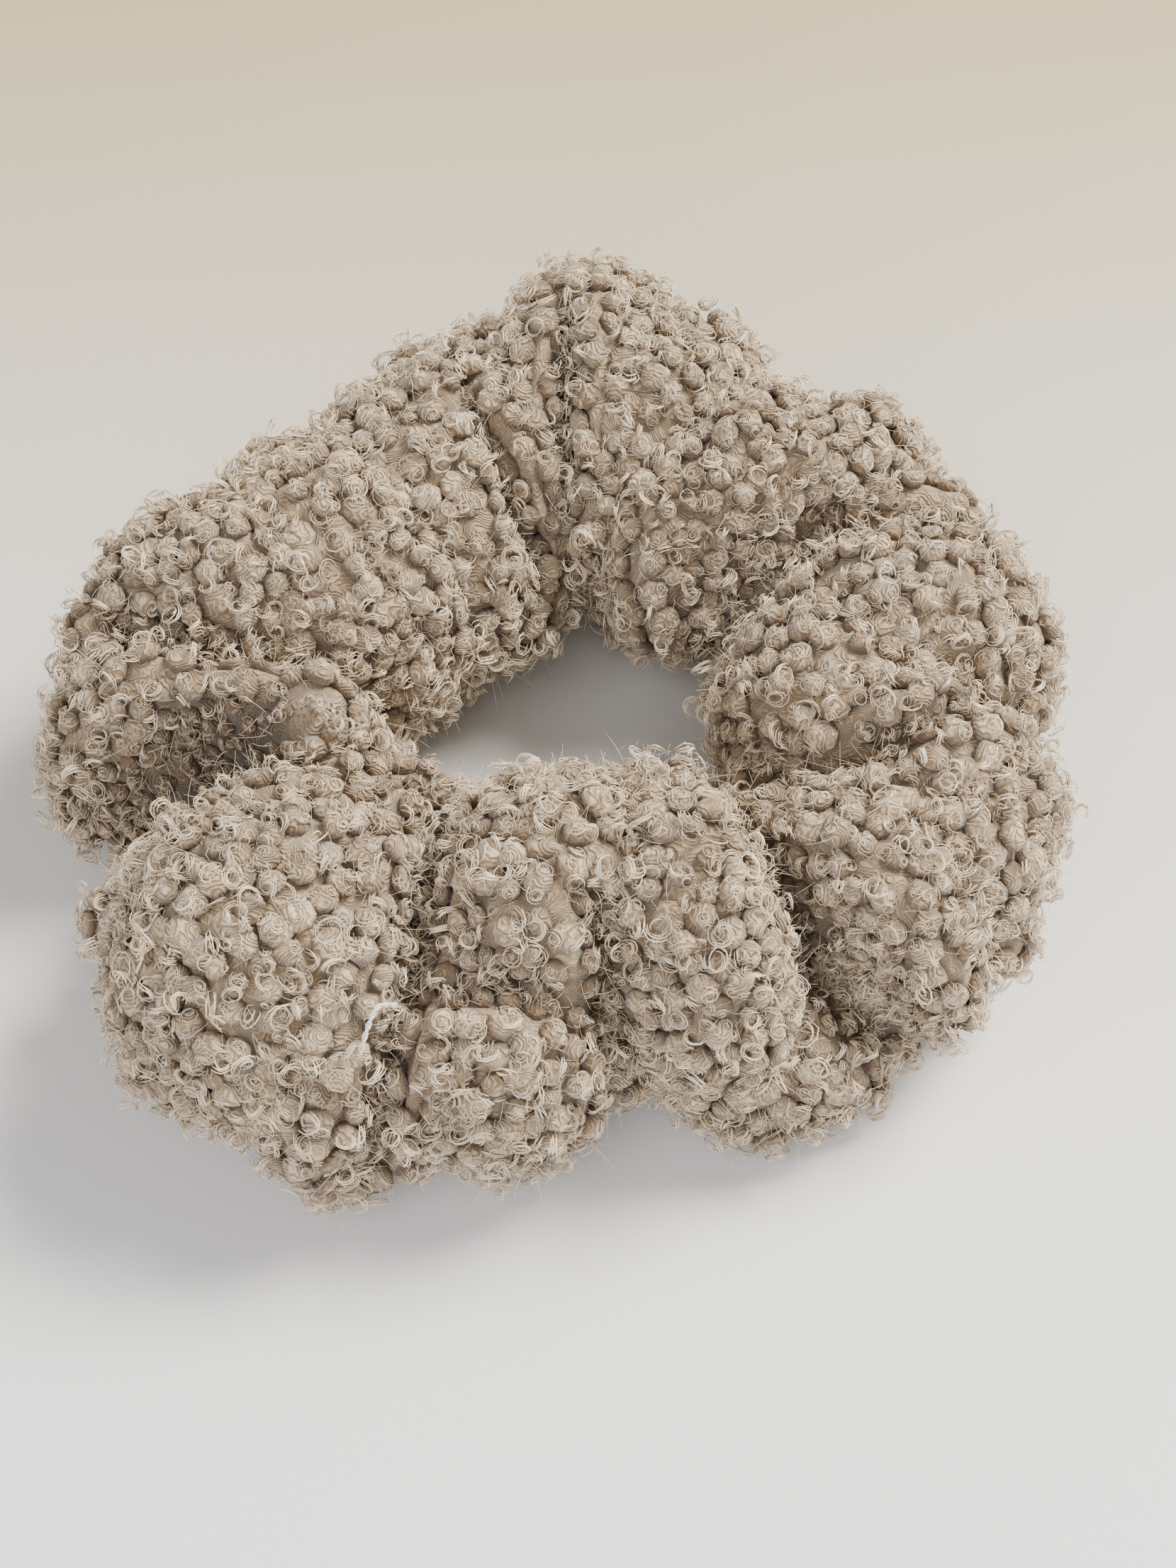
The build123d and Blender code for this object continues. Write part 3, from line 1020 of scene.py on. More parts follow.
@dataclass
class Tufts:
    """Clumps of pile standing on the cloth, each with a matted core."""

    roots: np.ndarray
    outward: np.ndarray
    size: np.ndarray
    folded: np.ndarray
    reach: np.ndarray = field(init=False)
    tall: np.ndarray = field(init=False)
    middle: np.ndarray = field(init=False)
    tint: np.ndarray = field(init=False)
    full_height: float = 3.8
    reaches: tuple = (1.45, 2.05)
    heights: tuple = (0.95, 1.4)
    lifts: tuple = (0.4, 1.0)
    lump: float = 0.16
    lump_size: float = 2.4
    crown_rise: tuple = (0.85, 1.0)
    side_rise: tuple = (0.25, 0.85)

    def grow(self, rng: np.random.Generator) -> None:
        """Choose each tuft's half width, half height and place."""
        count = len(self.roots)
        size = self.size[:, None] * MM
        self.reach = rng.uniform(*self.reaches, (count, 1)) * size
        self.tall = rng.uniform(*self.heights, (count, 1)) * size
        self.middle = self.roots + self.outward * self.tall * rng.uniform(*self.lifts, (count, 1))
        self.tint = rng.uniform(0, 1, (count, 1))

    def cores(self, rings: int, sides: int, rng: np.random.Generator) -> Tubes:
        """Return the matted core of every tuft as a rough ball."""
        polar = np.linspace(0.1, math.pi - 0.1, rings)
        paths = self.middle[:, None] - np.cos(polar)[:, None] * (self.outward * self.tall)[:, None]
        radii = np.sin(polar) * self.reach
        toward = np.broadcast_to(rng.normal(size=(len(paths), 1, 3)), paths.shape)
        # The cores carry their height in the pile, which darkens them with painted shade.
        cores = Tubes.sweep(paths, radii, toward, sides, tint=self.tint, height=self.height(paths))
        lumps = ripple(cores.points.reshape(-1, 3), self.lump_size * MM, rng)
        lumps = lumps.reshape(cores.points.shape[:3])
        away = unit(cores.points - self.middle[:, None, None])
        cores.points = cores.points + away * (lumps * self.lump * MM)[..., None]
        return cores

    def height(self, place: np.ndarray, owner: Optional[np.ndarray] = None) -> np.ndarray:
        """Return how high rows of points stand in the pile, from 0 at the cloth to 1 at its crown, lowered in
        folds. It sets the pile's painted shade, darker towards the cloth and in folds.

        Args:
            place: The points, as (row, ring, xyz).
            owner: Which tuft each row belongs to; the rows are the tufts' own where it is left out.

        Returns:
            The heights, as (row, ring).
        """
        owner = np.arange(len(self.roots)) if owner is None else owner
        above = np.sum((place - self.roots[owner, None]) * self.outward[owner, None], axis=-1)
        # Lowered in folds, so that the pile's painted shade grows there.
        return np.clip(above / (self.full_height * MM), 0, 1) * (1 - self.folded[owner, None])

    def wrapped(self, place: np.ndarray, owner: np.ndarray, cling: np.ndarray,
                lift: np.ndarray) -> np.ndarray:
        """Return rows of points brought out of their tufts' cores.

        Args:
            place: The points, as (row, ring, xyz).
            owner: Which tuft each row belongs to.
            cling: Which rows lie over their core, as a column; the others only stay out of it.
            lift: How far above its core each row lies, against the core's size, as a column.

        Returns:
            The points in their new places.
        """
        away = place - self.middle[owner, None]
        upright = self.outward[owner, None]
        above = np.sum(away * upright, axis=-1, keepdims=True)
        level = (away - above * upright) / self.reach[owner, None]
        out = np.sqrt((above / self.tall[owner, None]) ** 2 + np.sum(level**2, axis=-1, keepdims=True))
        wanted = 1 + lift[..., None]
        nearest = 0.3
        move = np.where(cling[..., None] | (out < wanted), wanted / np.maximum(out, nearest), 1)
        return self.middle[owner, None] + away * move

    def over(self, each: int, rng: np.random.Generator) -> tuple[np.ndarray, np.ndarray, np.ndarray]:
        """Return places spread over every tuft's upper side.

        Args:
            each: Places on each tuft.
            rng: Source of chance.

        Returns:
            The places, their outward directions and the tuft that each belongs to.
        """
        owner = np.repeat(np.arange(len(self.roots)), each)
        count = len(owner)
        upright = self.outward[owner]
        sideways = unit(np.cross(upright, rng.normal(size=(count, 3))))
        crown = np.arange(count) % each == 0
        low, high = (np.where(crown, top, side) for top, side in zip(self.crown_rise, self.side_rise))
        rise = rng.uniform(low, high)[:, None]
        spread = np.sqrt(1 - rise**2)
        place = self.middle[owner] + upright * rise * self.tall[owner] + sideways * spread * self.reach[owner]
        return place, unit(upright * rise / self.tall[owner] + sideways * spread / self.reach[owner]), owner


@dataclass(frozen=True)
class Strand:
    """What one kind of strand is like: its fineness, how far it winds and how its ends stand off."""

    radius: tuple = (0.060, 0.105)
    turns: tuple = (0.35, 0.75)
    twist: tuple = (-0.4, 0.4)
    lift: tuple = (0.02, 0.22)
    flying: float = 0.35
    furthest: float = 1.04
    taper: float = 0.6
    rings: int = 7
    sides: int = 3


@dataclass(frozen=True)
class Fluff:
    """Short single fibres that stand out of the pile."""

    count: int = 10000
    length: tuple = (1.2, 3.4)
    lift: tuple = (1.2, 2.4)
    radius: tuple = (0.022, 0.036)
    bend: tuple = (0.1, 0.7)
    tint: tuple = (0.2, 1.0)
    stray: float = 0.9
    taper: float = 0.5
    rings: int = 5
    sides: int = 3


@dataclass
class Curls:
    """Locks of fibre over the tufts, each wound into a swirl, a ring or a hook."""

    tufts: Tufts
    each: int
    rng: InitVar[np.random.Generator]
    begin_spread: float = 0.5
    lean_lift: float = 0.8
    tightening: float = 0.9
    wobble: float = 0.12
    wobble_turns: float = 1.6

    def __post_init__(self, rng: np.random.Generator) -> None:
        """Choose a place and a shape for each lock.

        Args:
            rng: Source of chance.
        """
        roots, outward, self.owner = self.tufts.over(self.each, rng)
        count = len(roots)
        shapes = list(CURLS.values())
        kind = rng.choice(len(shapes), count, p=[shape.share for shape in shapes])

        def drawn(name: str) -> np.ndarray:
            """Draw a size for each curl from its kind's range, as a column."""
            ranges = np.array([getattr(shape, name) for shape in shapes])[kind]
            return rng.uniform(ranges[:, 0], ranges[:, 1])[:, None]

        def given(name: str) -> np.ndarray:
            """Return its kind's fixed value for each curl, as a column."""
            return np.array([getattr(shape, name) for shape in shapes])[kind][:, None]

        size = self.tufts.size[self.owner, None] * MM
        self.radius = drawn("radius") * size
        self.lock = drawn("lock") * size
        self.turns = drawn("turns") * rng.choice([-1, 1], (count, 1))
        self.tighten = given("tighten")
        self.rise = given("rise") * size
        self.begin = math.radians(-90) + rng.normal(0, self.begin_spread, (count, 1))
        lean = np.radians(drawn("lean"))
        sideways = unit(np.cross(outward, rng.normal(size=(count, 3))))
        self.axis = outward * np.cos(lean) + sideways * np.sin(lean)
        self.upward = outward * np.sin(lean) - sideways * np.cos(lean)
        self.across = np.cross(self.upward, self.axis)
        lift = drawn("lift") * size + self.lean_lift * self.radius * np.sin(lean)
        self.centre = roots + outward * lift
        self.tousle = given("tousle")
        self.cling = given("cling") > 0
        self.phase = rng.uniform(0, TAU, (3, count, 1))
        self.tint = rng.uniform(0, 1, (count, 1))

    def course(self, part: np.ndarray) -> np.ndarray:
        """Return each lock's middle line at parts 0 to 1 of its length, as (curl, ring, xyz)."""
        turn = self.begin + TAU * self.turns * part
        reach = self.radius * (1 - self.tighten * np.clip(part, 0, 1) ** self.tightening)
        wobble = [self.wobble * MM * np.sin(TAU * self.wobble_turns * part + phase) for phase in self.phase]
        return (self.centre[:, None]
                + (reach * np.cos(turn) + wobble[0])[..., None] * self.across[:, None]
                + (reach * np.sin(turn) + wobble[1])[..., None] * self.upward[:, None]
                + (self.rise * (part - 0.5) + wobble[2])[..., None] * self.axis[:, None])

    def strands(self, strand: Strand, rng: np.random.Generator) -> Tubes:
        """Return one strand that winds along every lock.

        Args:
            strand: What the strands are like.
            rng: Source of chance.

        Returns:
            The strands, in the order of the locks.
        """
        count = len(self.lock)
        along = np.linspace(0, 1, strand.rings)
        span = rng.uniform(*strand.turns, (count, 1)) / np.abs(self.turns)
        start = rng.uniform(0, 1, (count, 1)) * np.maximum(strand.furthest - span, 0)
        part = start + span * along
        place = self.course(part)
        axis = np.broadcast_to(self.axis[:, None], place.shape)
        normal, binormal = section_frame(place, axis)
        ends = np.abs(2 * along - 1) ** 4
        turn = rng.uniform(0, TAU, (count, 1)) + TAU * rng.uniform(*strand.twist, (count, 1)) * along
        off = self.lock * np.sqrt(rng.uniform(0.0, 1.0, (count, 1)))
        off = off + strand.flying * MM * rng.uniform(0, 1, (count, 1)) * ends
        spoke = np.cos(turn)[..., None] * normal + np.sin(turn)[..., None] * binormal
        place = place + off[..., None] * spoke
        place = turned(place, self.centre, rng.normal(size=(count, 3)) * self.tousle)
        place = self.tufts.wrapped(place, self.owner, self.cling, rng.uniform(*strand.lift, (count, 1)))
        thick = rng.uniform(*strand.radius, (count, 1)) * MM * (1 - strand.taper * ends)
        tint = np.clip(self.tint * 0.5 + rng.uniform(0, 0.5, (count, 1)), 0, 1)
        # Height in the pile, lowered in folds, which darkens the strands with painted shade.
        height = self.tufts.height(place, self.owner)
        return Tubes.sweep(place, thick, axis, strand.sides, tint=tint, height=height)


@dataclass
class Pile:
    """The pile of the cover: tufts, the curled strands all over them and loose fluff."""

    cover: Cover
    spacing: float = 2.45
    worn_spacing: float = 3.8
    curls_each: int = 4
    strands_each: int = 6
    quick_strands: int = 3
    core_rings: int = 6
    core_sides: int = 8
    strand: Strand = Strand()
    fluff: Fluff = Fluff()
    candidates: int = 70000
    uneven_size: float = 7.0
    uneven_gap: float = 0.12
    uneven_tuft: float = 0.10
    worn_shrink: float = 0.45
    folded_shrink: float = 0.6
    clearance: float = 0.05
    give: float = 2.2
    seed: int = 5

    def dress(self) -> list[bpy.types.Object]:
        """Grow the pile on every panel of the cover."""
        rng = np.random.default_rng(self.seed)
        ring = self.cover.ring
        tufts = Tufts(*self.plant(rng))
        tufts.grow(rng)
        curls = Curls(tufts, self.curls_each, rng)
        LOG.info("pile: %d tufts with %d curls", len(tufts.roots), len(curls.owner))
        cores = tufts.cores(self.core_rings, self.core_sides, rng)
        strands = [curls.strands(self.strand, rng) for _ in range(self.strands_each)]
        fluff, fluff_roots = self.loose_fluff(rng)
        for batch in (cores, *strands, fluff):
            batch.points = rest_on_floor(batch.points, self.clearance * MM, self.give * MM)
        angles = ring.angles_of(tufts.roots)
        panel = ring.panel_of(angles)
        fluff_angles = ring.angles_of(fluff_roots)
        fluff_panel = ring.panel_of(fluff_angles)
        third = self.strands_each // 3
        grid = math.ceil(math.sqrt(np.bincount(panel).max()))
        strand_grid = math.ceil(math.sqrt(third * self.curls_each) * grid)
        fluff_grid = math.ceil(math.sqrt(np.bincount(fluff_panel).max()))
        pile, fibre = CurledPile().material(), FineFibre().material()
        pieces = []
        for number in range(len(ring.angles) - 1):
            here, near = panel == number, fluff_panel == number
            share = ring.share(angles[here], number)
            curled = here[curls.owner]
            curl_share = np.repeat(share, self.curls_each)
            fluff_share = ring.share(fluff_angles[near], number)
            kinds = [
                ("pile_tufts", [(cores.only(here), share)], grid, pile),
                ("pile_fluff", [(fluff.only(near), fluff_share)], fluff_grid, fibre),
            ]
            for layer, name in enumerate(("pile_curls_low", "pile_curls_mid", "pile_curls_top")):
                layers = strands[layer * third:(layer + 1) * third]
                batches = [(batch.only(curled), curl_share) for batch in layers]
                kinds.append((name, batches, strand_grid, fibre))
            for name, batches, cells, material in kinds:
                pieces.append(self.grow(name, batches, cells, material, number))
        return pieces

    def grow(self, name: str, batches: Sequence[tuple[Tubes, np.ndarray]], grid: int,
             material: bpy.types.Material, panel: int) -> bpy.types.Object:
        """Make one piece of the pile on a panel from batches of tubes, each with its tubes' shares."""
        mesh = tubes_mesh(name, [batch for batch, _ in batches], grid)
        piece = new_object(f"{name}_{panel + 1:02d}", mesh, material)
        shares = [np.repeat(share, batch.points[0, ..., 0].size) for batch, share in batches]
        stretch_between(piece, self.cover.ring, panel, np.concatenate(shares))
        return piece

    def scatter(self, count: int, rng: np.random.Generator) -> tuple[np.ndarray, np.ndarray]:
        """Return random places all over the cloth and its outward direction at each."""
        mesh = self.cover.mesh
        mesh.calc_loop_triangles()
        corners = read_rows(mesh.loop_triangles, "vertices", 3, int)
        points = read_rows(mesh.vertices, "co", 3)
        normals = read_rows(mesh.vertices, "normal", 3)
        edges = points[corners[:, 1:]] - points[corners[:, :1]]
        area = np.linalg.norm(np.cross(edges[:, 0], edges[:, 1]), axis=1)
        face = corners[rng.choice(len(corners), count, p=area / area.sum())]
        first, second = np.sort(rng.uniform(0, 1, (2, count)), axis=0)
        weights = np.stack([first, second - first, 1 - second], axis=1)[..., None]
        return (points[face] * weights).sum(axis=1), unit((normals[face] * weights).sum(axis=1))

    def plant(self, rng: np.random.Generator) -> tuple[np.ndarray, np.ndarray, np.ndarray, np.ndarray]:
        """Choose where the tufts stand, close together but for thin and worn places.

        Args:
            rng: Source of chance.

        Returns:
            The roots, the outward directions, the sizes of the tufts and how deep in a fold each stands.
        """
        places, outward = self.scatter(self.candidates, rng)
        ring = self.cover.ring
        worn = wear(places, ring)
        folded = folds(places, ring)
        uneven = ripple(places, self.uneven_size * MM, rng)
        gap = self.spacing * (1 + self.uneven_gap * uneven) + (self.worn_spacing - self.spacing) * worn
        shrunk = (1 - self.worn_shrink * worn) * (1 - self.folded_shrink * folded)
        size = (1 + self.uneven_tuft * uneven) * shrunk
        tree = KDTree(len(places))
        for index, place in enumerate(places):
            tree.insert(place, index)
        tree.balance()
        free = np.ones(len(places), bool)
        kept = []
        for index, place in enumerate(places):
            if free[index]:
                kept.append(index)
                for _, other, _ in tree.find_range(place, gap[index] * MM):
                    free[other] = False
        return places[kept], outward[kept], size[kept], folded[kept]

    def loose_fluff(self, rng: np.random.Generator) -> tuple[Tubes, np.ndarray]:
        """Return short single fibres that stand out of the pile, and where they are rooted."""
        fluff = self.fluff
        roots, outward = self.scatter(fluff.count, rng)
        count = len(roots)
        along = np.linspace(0, 1, fluff.rings)
        length = rng.uniform(*fluff.length, (count, 1)) * MM
        aim = unit(outward + fluff.stray * unit(rng.normal(size=(count, 3))))
        bend = unit(rng.normal(size=(count, 3))) * length * rng.uniform(*fluff.bend, (count, 1))
        base = roots + outward * rng.uniform(*fluff.lift, (count, 1)) * MM
        path = (base[:, None] + (aim * length)[:, None] * along[:, None]
                + bend[:, None] * (along**2)[:, None])
        radii = rng.uniform(*fluff.radius, (count, 1)) * MM * (1 - fluff.taper * along)
        toward = np.broadcast_to(rng.normal(size=(count, 1, 3)), path.shape)
        tint = rng.uniform(*fluff.tint, (count, 1))
        tubes = Tubes.sweep(path, radii, toward, fluff.sides, tint=tint, height=np.ones((count, 1)))
        return tubes, roots


# ---- Inside and loose pieces ---------------------------------------------------------------------

@dataclass
class Elastic:
    """The braided elastic in the cover and the zigzag thread that joins its lapped ends."""

    ring: Ring
    lap: tuple = (615.0, 635.0)
    lap_step: float = 8.0
    lap_lift: float = 0.96
    radius: float = 31.0
    thick: float = 0.9
    ribs: int = 8
    rib_depth: float = 0.06
    edge_thinning: float = 0.35
    thread: float = 0.4
    zigzags: int = 6
    zigzag_rise: float = 2.0
    zigzag_margin: float = 2.0
    shortest: float = 0.5
    uv_grid: int = 4

    def dress(self) -> list[bpy.types.Object]:
        """Make the band and its joining thread, in stretches between the bodies."""
        braid, cotton = ElasticBraid().material(), SpunThread("join_thread").material()
        angles = self.ring.angles
        zigzag = self.zigzag()
        rows = zigzag.points.mean(axis=(1, 2))
        row_panel = self.ring.panel_of(self.ring.angles_of(rows))
        pieces = []
        for panel, (start, end) in enumerate(zip(angles[:-1], angles[1:])):
            layers = [self.layer(start, min(end, self.lap[1]), self.lap_lift),
                      self.layer(max(start, self.lap[0]), end, 0.0)]
            layers = [layer for layer in layers if layer is not None]
            pieces.append(self.place(f"elastic_band_{panel + 1:02d}", layers, braid, panel, "elastic"))
            if (row_panel == panel).any():
                name = f"elastic_stitches_{panel + 1:02d}"
                stitches = [zigzag.only(row_panel == panel)]
                pieces.append(self.place(name, stitches, cotton, panel, "seam_thread"))
        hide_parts("elastic_band")
        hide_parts("elastic_join_thread")
        return pieces

    def place(self, name: str, layers: Sequence[Tubes], material: bpy.types.Material, panel: int,
              slot: str) -> bpy.types.Object:
        """Make one piece of a panel's stretch of the elastic."""
        piece = new_object(name, tubes_mesh(name, layers, self.uv_grid), material)
        points = read_rows(piece.data.vertices, "co", 3)
        stretch_between(piece, self.ring, panel, self.ring.share(self.ring.angles_of(points), panel))
        return piece

    def layer(self, start: float, end: float, lift: float) -> Optional[Tubes]:
        """Return one layer of the ribbed band between two angles, or nothing where it has no length.

        Args:
            start: Angle of its first end.
            end: Angle of its last end.
            lift: How far it stands off the inner layer past the lap's first edge, in millimetres.

        Returns:
            The layer as one tube.
        """
        if end - start < self.shortest:
            return None
        low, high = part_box("elastic_band")
        half, middle = (high[2] - low[2]) / 2 / MM, (high[2] + low[2]) / 2 / MM
        across = np.linspace(1, -1, 6 * self.ribs + 1)
        rib = self.rib_depth * np.cos(TAU * self.ribs * (across + 1) / 2)
        side = self.thick / 2 * (1 - self.edge_thinning * across**12) - self.rib_depth / 2 + rib / 2
        depth = np.concatenate([side, -side[::-1]])
        height = np.concatenate([across, across[::-1]]) * half + middle
        angles = np.linspace(start, end, max(3, int(end - start)))
        step = np.clip((angles - self.lap[0] + self.lap_step) / self.lap_step, 0, 1)
        turn = np.radians(angles)[:, None]
        reach = self.radius + lift * step[:, None] + depth
        level = np.broadcast_to(height, reach.shape)
        points = np.stack([reach * np.cos(turn), reach * np.sin(turn), level], axis=-1)
        return Tubes((points * MM + np.array(self.ring.centre))[None], {})

    def zigzag(self) -> Tubes:
        """Return the stitches of the joining thread on both faces of the lap."""
        middle = Ring.middle("elastic_join_thread")
        step = (self.lap[1] - self.lap[0] - 2 * self.zigzag_margin) / self.zigzags
        off = self.thick / 2 + self.thread / 2
        faces = (self.radius - off, self.radius + self.lap_lift + off)
        paths = []
        for row in range(self.zigzags):
            rise = self.zigzag_rise if row % 2 else -self.zigzag_rise
            for radius in faces:
                first = self.lap[0] + self.zigzag_margin
                spots = [self.ring.point(first + (row + part) * step, radius,
                                         middle.z / MM + rise * (2 * part - 1))
                         for part in (0, 0.33, 0.67, 1)]
                paths.append([tuple(spot) for spot in spots])
        paths = np.array(paths)
        radii = np.broadcast_to(self.thread / 2 * MM, paths.shape[:2])
        return Tubes.sweep(paths, radii, np.broadcast_to((0.3, 0.2, 1.0), paths.shape), 8)


def smooth_line(points: np.ndarray, count: int) -> np.ndarray:
    """Return places along a smooth line that runs through a few points."""
    ends = np.concatenate([2 * points[:1] - points[1:2], points, 2 * points[-1:] - points[-2:-1]])
    spot = np.linspace(0, len(points) - 1 - 1e-6, count)
    first = spot.astype(int)
    part = (spot - first)[:, None]
    before, start, end, after = (ends[first + shift] for shift in range(4))
    return 0.5 * (2 * start + (end - before) * part + (2 * before - 5 * start + 4 * end - after) * part**2
                  + (3 * start - before - 3 * end + after) * part**3)


@dataclass
class LooseThread:
    """A short tail of two-ply yarn that pokes out of the fold at the front left."""

    ring: Ring
    places: tuple = ((253.2, 55.6, 35.5), (252.0, 57.6, 37.6), (251.6, 59.8, 36.6), (251.4, 61.9, 34.4))
    yarn: float = 0.62
    twists: float = 3.5
    ply_off: float = 0.24
    loosening: float = 0.10
    ply_radius: float = 0.27
    thinning: float = 0.35
    hairs: int = 12
    hair_length: tuple = (0.7, 1.7)
    hair_bend: float = 0.5
    hair_stray: float = 0.8
    hair_lift: float = 0.3
    hair_radius: float = 0.035
    rings: int = 64
    seed: int = 21

    def dress(self) -> list[bpy.types.Object]:
        """Make the two plies and the hairs that fray from the cut end."""
        rng = np.random.default_rng(self.seed)
        route = np.array([self.ring.point(*place) for place in self.places])
        middle = smooth_line(route, self.rings)[None]
        upward = np.broadcast_to((0.1, 0.2, 1.0), middle.shape)
        normal, binormal = section_frame(middle, upward)
        along = np.linspace(0, 1, self.rings)
        plies = []
        for start in (0, math.pi):
            turn = (start + TAU * self.twists * along)[None, :, None]
            off = self.yarn * MM * (self.ply_off + self.loosening * along**6)[None, :, None]
            path = middle + off * (np.cos(turn) * normal + np.sin(turn) * binormal)
            radii = (self.yarn * MM * self.ply_radius * (1 - self.thinning * along**8))[None]
            plies.append(Tubes.sweep(path, radii, upward, 10))
        yarn = SpunThread("loose_yarn", (0.90, 0.87, 0.80), (0.70, 0.64, 0.55), 0.35).material()
        name = "loose_thread_tail"
        piece = new_object(name, tubes_mesh(name, [*plies, self.frayed(middle[0], rng)], 5), yarn)
        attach(piece, "gather_09")
        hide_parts("thread_tail")
        return [piece]

    def frayed(self, middle: np.ndarray, rng: np.random.Generator) -> Tubes:
        """Return the hairs that stand off the yarn, most of them at its cut end."""
        along = np.linspace(0, 1, 6)[:, None]
        paths = []
        for index in range(self.hairs):
            spot = len(middle) - 1 if index % 2 else rng.integers(8, len(middle) - 1)
            run = unit(middle[spot] - middle[spot - 4])
            aim = unit(run + self.hair_stray * rng.normal(size=3) + (0, 0, self.hair_lift))
            bend = rng.normal(size=3) * self.hair_bend * MM
            length = rng.uniform(*self.hair_length) * MM
            paths.append(middle[spot] + aim * length * along + bend * along**2)
        paths = np.array(paths)
        radii = np.broadcast_to(self.hair_radius * MM * (1 - 0.5 * along[:, 0]), paths.shape[:2])
        return Tubes.sweep(paths, radii, np.broadcast_to(rng.normal(size=3), paths.shape), 3)


@dataclass
class ClosingSeam:
    """Stitches over the joint of the tube's two ends, drawn down on the cloth under the pile."""

    cover: Cover
    angle: float = 310.0
    radius: float = 39.5
    height: float = 19.0
    reach: float = 17.6
    stitches: int = 26
    length: float = 2.2
    thread: float = 0.4
    lift: float = 0.25
    dip: float = 0.45
    clearance: float = 0.3
    give: float = 1.0

    def dress(self) -> list[bpy.types.Object]:
        """Lay the stitches round the tube on its skin."""
        points = read_rows(self.cover.mesh.vertices, "co", 3)
        normals = read_rows(self.cover.mesh.vertices, "normal", 3)
        ring = self.cover.ring
        around = TAU * np.arange(self.stitches) / self.stitches
        aims = [ring.point(self.angle, self.radius + self.reach * math.cos(turn),
                           self.height + self.reach * math.sin(turn)) for turn in around]
        nearest = [np.argmin(np.linalg.norm(points - np.array(aim), axis=1)) for aim in aims]
        outward = unit(normals[nearest])
        turn = math.radians(self.angle + 90)
        run = np.array([math.cos(turn), math.sin(turn), 0.0])
        run = unit(run - (outward @ run)[:, None] * outward)
        along = np.linspace(-1, 1, 7)[None, :, None]
        lift = outward[:, None] * ((self.lift - self.dip * along**2) * MM)
        paths = points[nearest][:, None] + run[:, None] * along * self.length / 2 * MM + lift
        radii = np.full(paths.shape[:2], self.thread / 2 * MM)
        tubes = Tubes.sweep(paths, radii, np.broadcast_to(outward[:, None], paths.shape), 8)
        tubes.points = rest_on_floor(tubes.points, self.clearance * MM, self.give * MM)
        name = "closing_seam_stitches"
        cotton = SpunThread("closing_thread", *SEWING).material()
        piece = new_object(name, tubes_mesh(name, [tubes], 6), cotton)
        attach(piece, "root")
        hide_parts("closing_seam_thread")
        return [piece]


def dress_seams() -> list[str]:
    """Give the sewing threads that stay as they are in the frame their finish."""
    cotton = SpunThread("sewing_thread", *SEWING).material()
    nodes = [name for name in frame["nodes"] if name.startswith("long_seam_thread")]
    for name in nodes:
        piece = bpy.data.objects[name]
        if not piece.material_slots:
            piece.data.materials.append(cotton)
        for slot in piece.material_slots:
            slot.link = "OBJECT"
            slot.material = cotton
    return nodes


# ---- Studio --------------------------------------------------------------------------------------

@dataclass(frozen=True)
class Lamp:
    """An area light aimed at the scrunchie, in metres and watts."""

    name: str
    place: tuple
    size: tuple
    power: float
    colour: tuple

    def hang(self, target: Vector) -> None:
        """Put the light into the scene, aimed at a place."""
        data = bpy.data.lights.new(self.name, "AREA")
        data.shape = "RECTANGLE"
        data.size, data.size_y = self.size
        data.energy = self.power
        data.color = self.colour
        lamp = bpy.data.objects.new(self.name, data)
        lamp.location = self.place
        lamp.rotation_euler = (target - Vector(self.place)).to_track_quat("-Z", "Y").to_euler()
        bpy.context.scene.collection.objects.link(lamp)


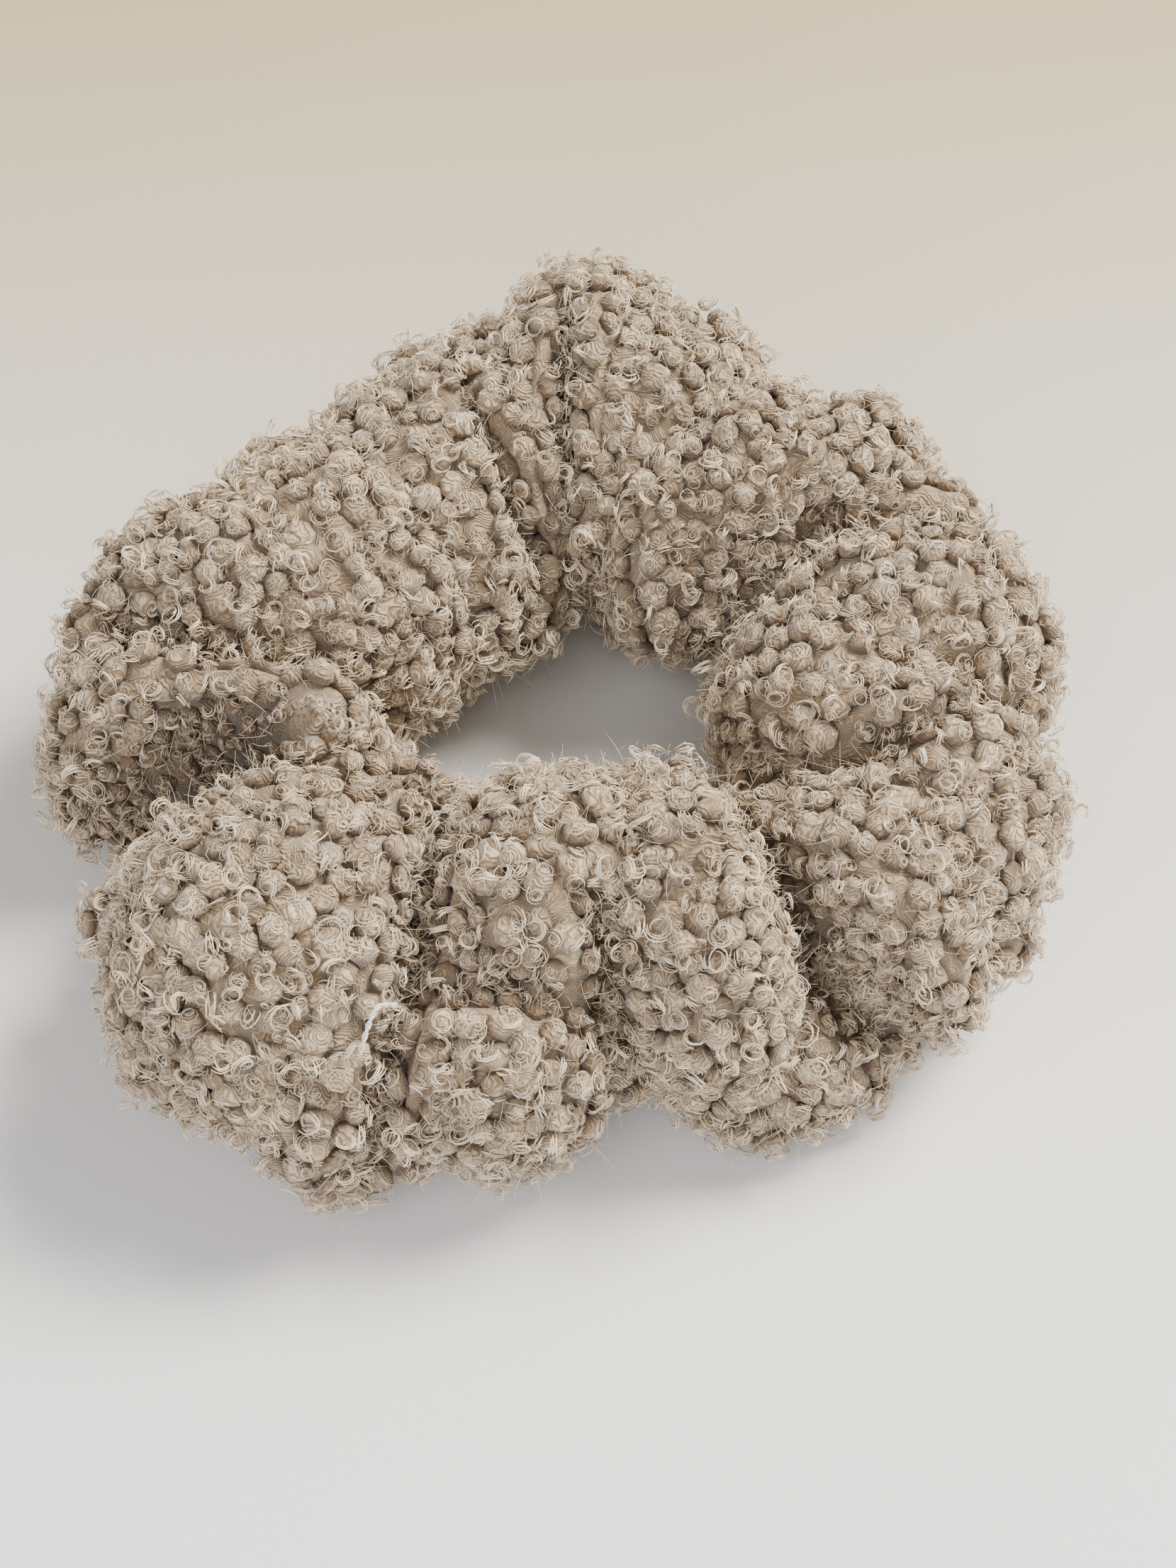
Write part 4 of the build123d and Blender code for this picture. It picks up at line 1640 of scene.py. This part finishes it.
@dataclass
class Studio:
    """Pale floor, painted darker and warmer towards the back as shade, soft light and the camera."""

    target: tuple = (0.0, -2.0, 20.0)
    camera_place: tuple = (4.4, -204.4, 283.6)
    elevation: float = 54.0
    lens: float = 62.9
    clip: tuple = (0.01, 20.0)
    floor_size: float = 3.0
    floor_flat: tuple = (0.80, 0.79, 0.77)
    floor_near: tuple = (0.87, 0.89, 0.93)
    # Painted shade: the floor's far colour, and the span over Y in metres across which the floor fades to it.
    floor_far_shade: tuple = (0.47, 0.39, 0.20)
    floor_shade_span: tuple = (-0.12, 0.22)
    speck: float = 900.0
    speck_height: float = 0.03
    sky: tuple = (0.96, 0.89, 0.79)
    sky_strength: float = 0.39
    lamps: tuple = (Lamp("window", (0.75, 0.35, 1.1), (0.6, 0.6), 44.0, (1.0, 0.955, 0.86)),
                    Lamp("far_window", (-0.2, -0.6, 0.6), (0.8, 0.8), 6.5, (0.97, 0.97, 1.0)))

    def build(self) -> None:
        """Make the floor, the lights and the camera."""
        self.make_floor()
        self.make_lights()
        camera = bpy.data.cameras.new("camera")
        camera.lens = self.lens
        camera.clip_start, camera.clip_end = self.clip
        eye = bpy.data.objects.new("camera", camera)
        eye.location = Vector(self.camera_place) * MM
        eye.rotation_euler = (math.radians(90.0 - self.elevation), 0.0, 0.0)
        bpy.context.scene.collection.objects.link(eye)
        bpy.context.scene.camera = eye

    def make_floor(self) -> None:
        """Make the pale table that the scrunchie lies on, with painted shade that darkens and warms it
        towards the back.
        """
        half = self.floor_size / 2
        points = np.array([(-half, -half, 0), (half, -half, 0), (half, half, 0), (-half, half, 0)])
        mesh = mesh_from_faces("floor", points, [np.array([[0, 1, 2, 3]])])
        graph = Graph("pale_table", self.floor_flat, Roughness=0.6)
        place = graph.place()
        speck = graph.noise(place, self.speck, 3.0)
        # Painted shade: the floor fades from its near colour to a darker, warmer one towards the back.
        depth = graph.value("ShaderNodeSeparateXYZ", "Y", {}, {"Vector": place}).step(*self.floor_shade_span)
        graph.feed("Base Color", graph.mix(depth, self.floor_near, self.floor_far_shade))
        graph.bump(speck, self.speck_height * MM)
        new_object("floor", mesh, graph.material)

    def make_lights(self) -> None:
        """Hang two soft windows and a pale sky."""
        world = bpy.data.worlds.new("pale_room")
        bpy.context.scene.world = world
        world.use_nodes = True
        sky = next(n for n in world.node_tree.nodes if n.type == "BACKGROUND")
        sky.inputs["Color"].default_value = (*self.sky, 1)
        sky.inputs["Strength"].default_value = self.sky_strength
        for lamp in self.lamps:
            lamp.hang(Vector(self.target) * MM)


# ---- Making --------------------------------------------------------------------------------------

def main() -> None:
    """Build the scrunchie's pieces in order and report each one."""
    logging.basicConfig(level=logging.INFO, format="%(name)s: %(message)s")
    Studio().build()
    ring = Ring()
    cover = Cover(ring)
    cover.build()
    pieces = cover.dress()
    pieces += Pile(cover).dress()
    pieces += Elastic(ring).dress()
    pieces += ClosingSeam(cover).dress()
    pieces += LooseThread(ring).dress()
    for piece in pieces:
        LOG.info("%s: %d points", piece.name, len(piece.data.vertices))
    for node in dress_seams():
        LOG.info("%s: sewing thread", node)


if __name__ == "__main__":
    main()
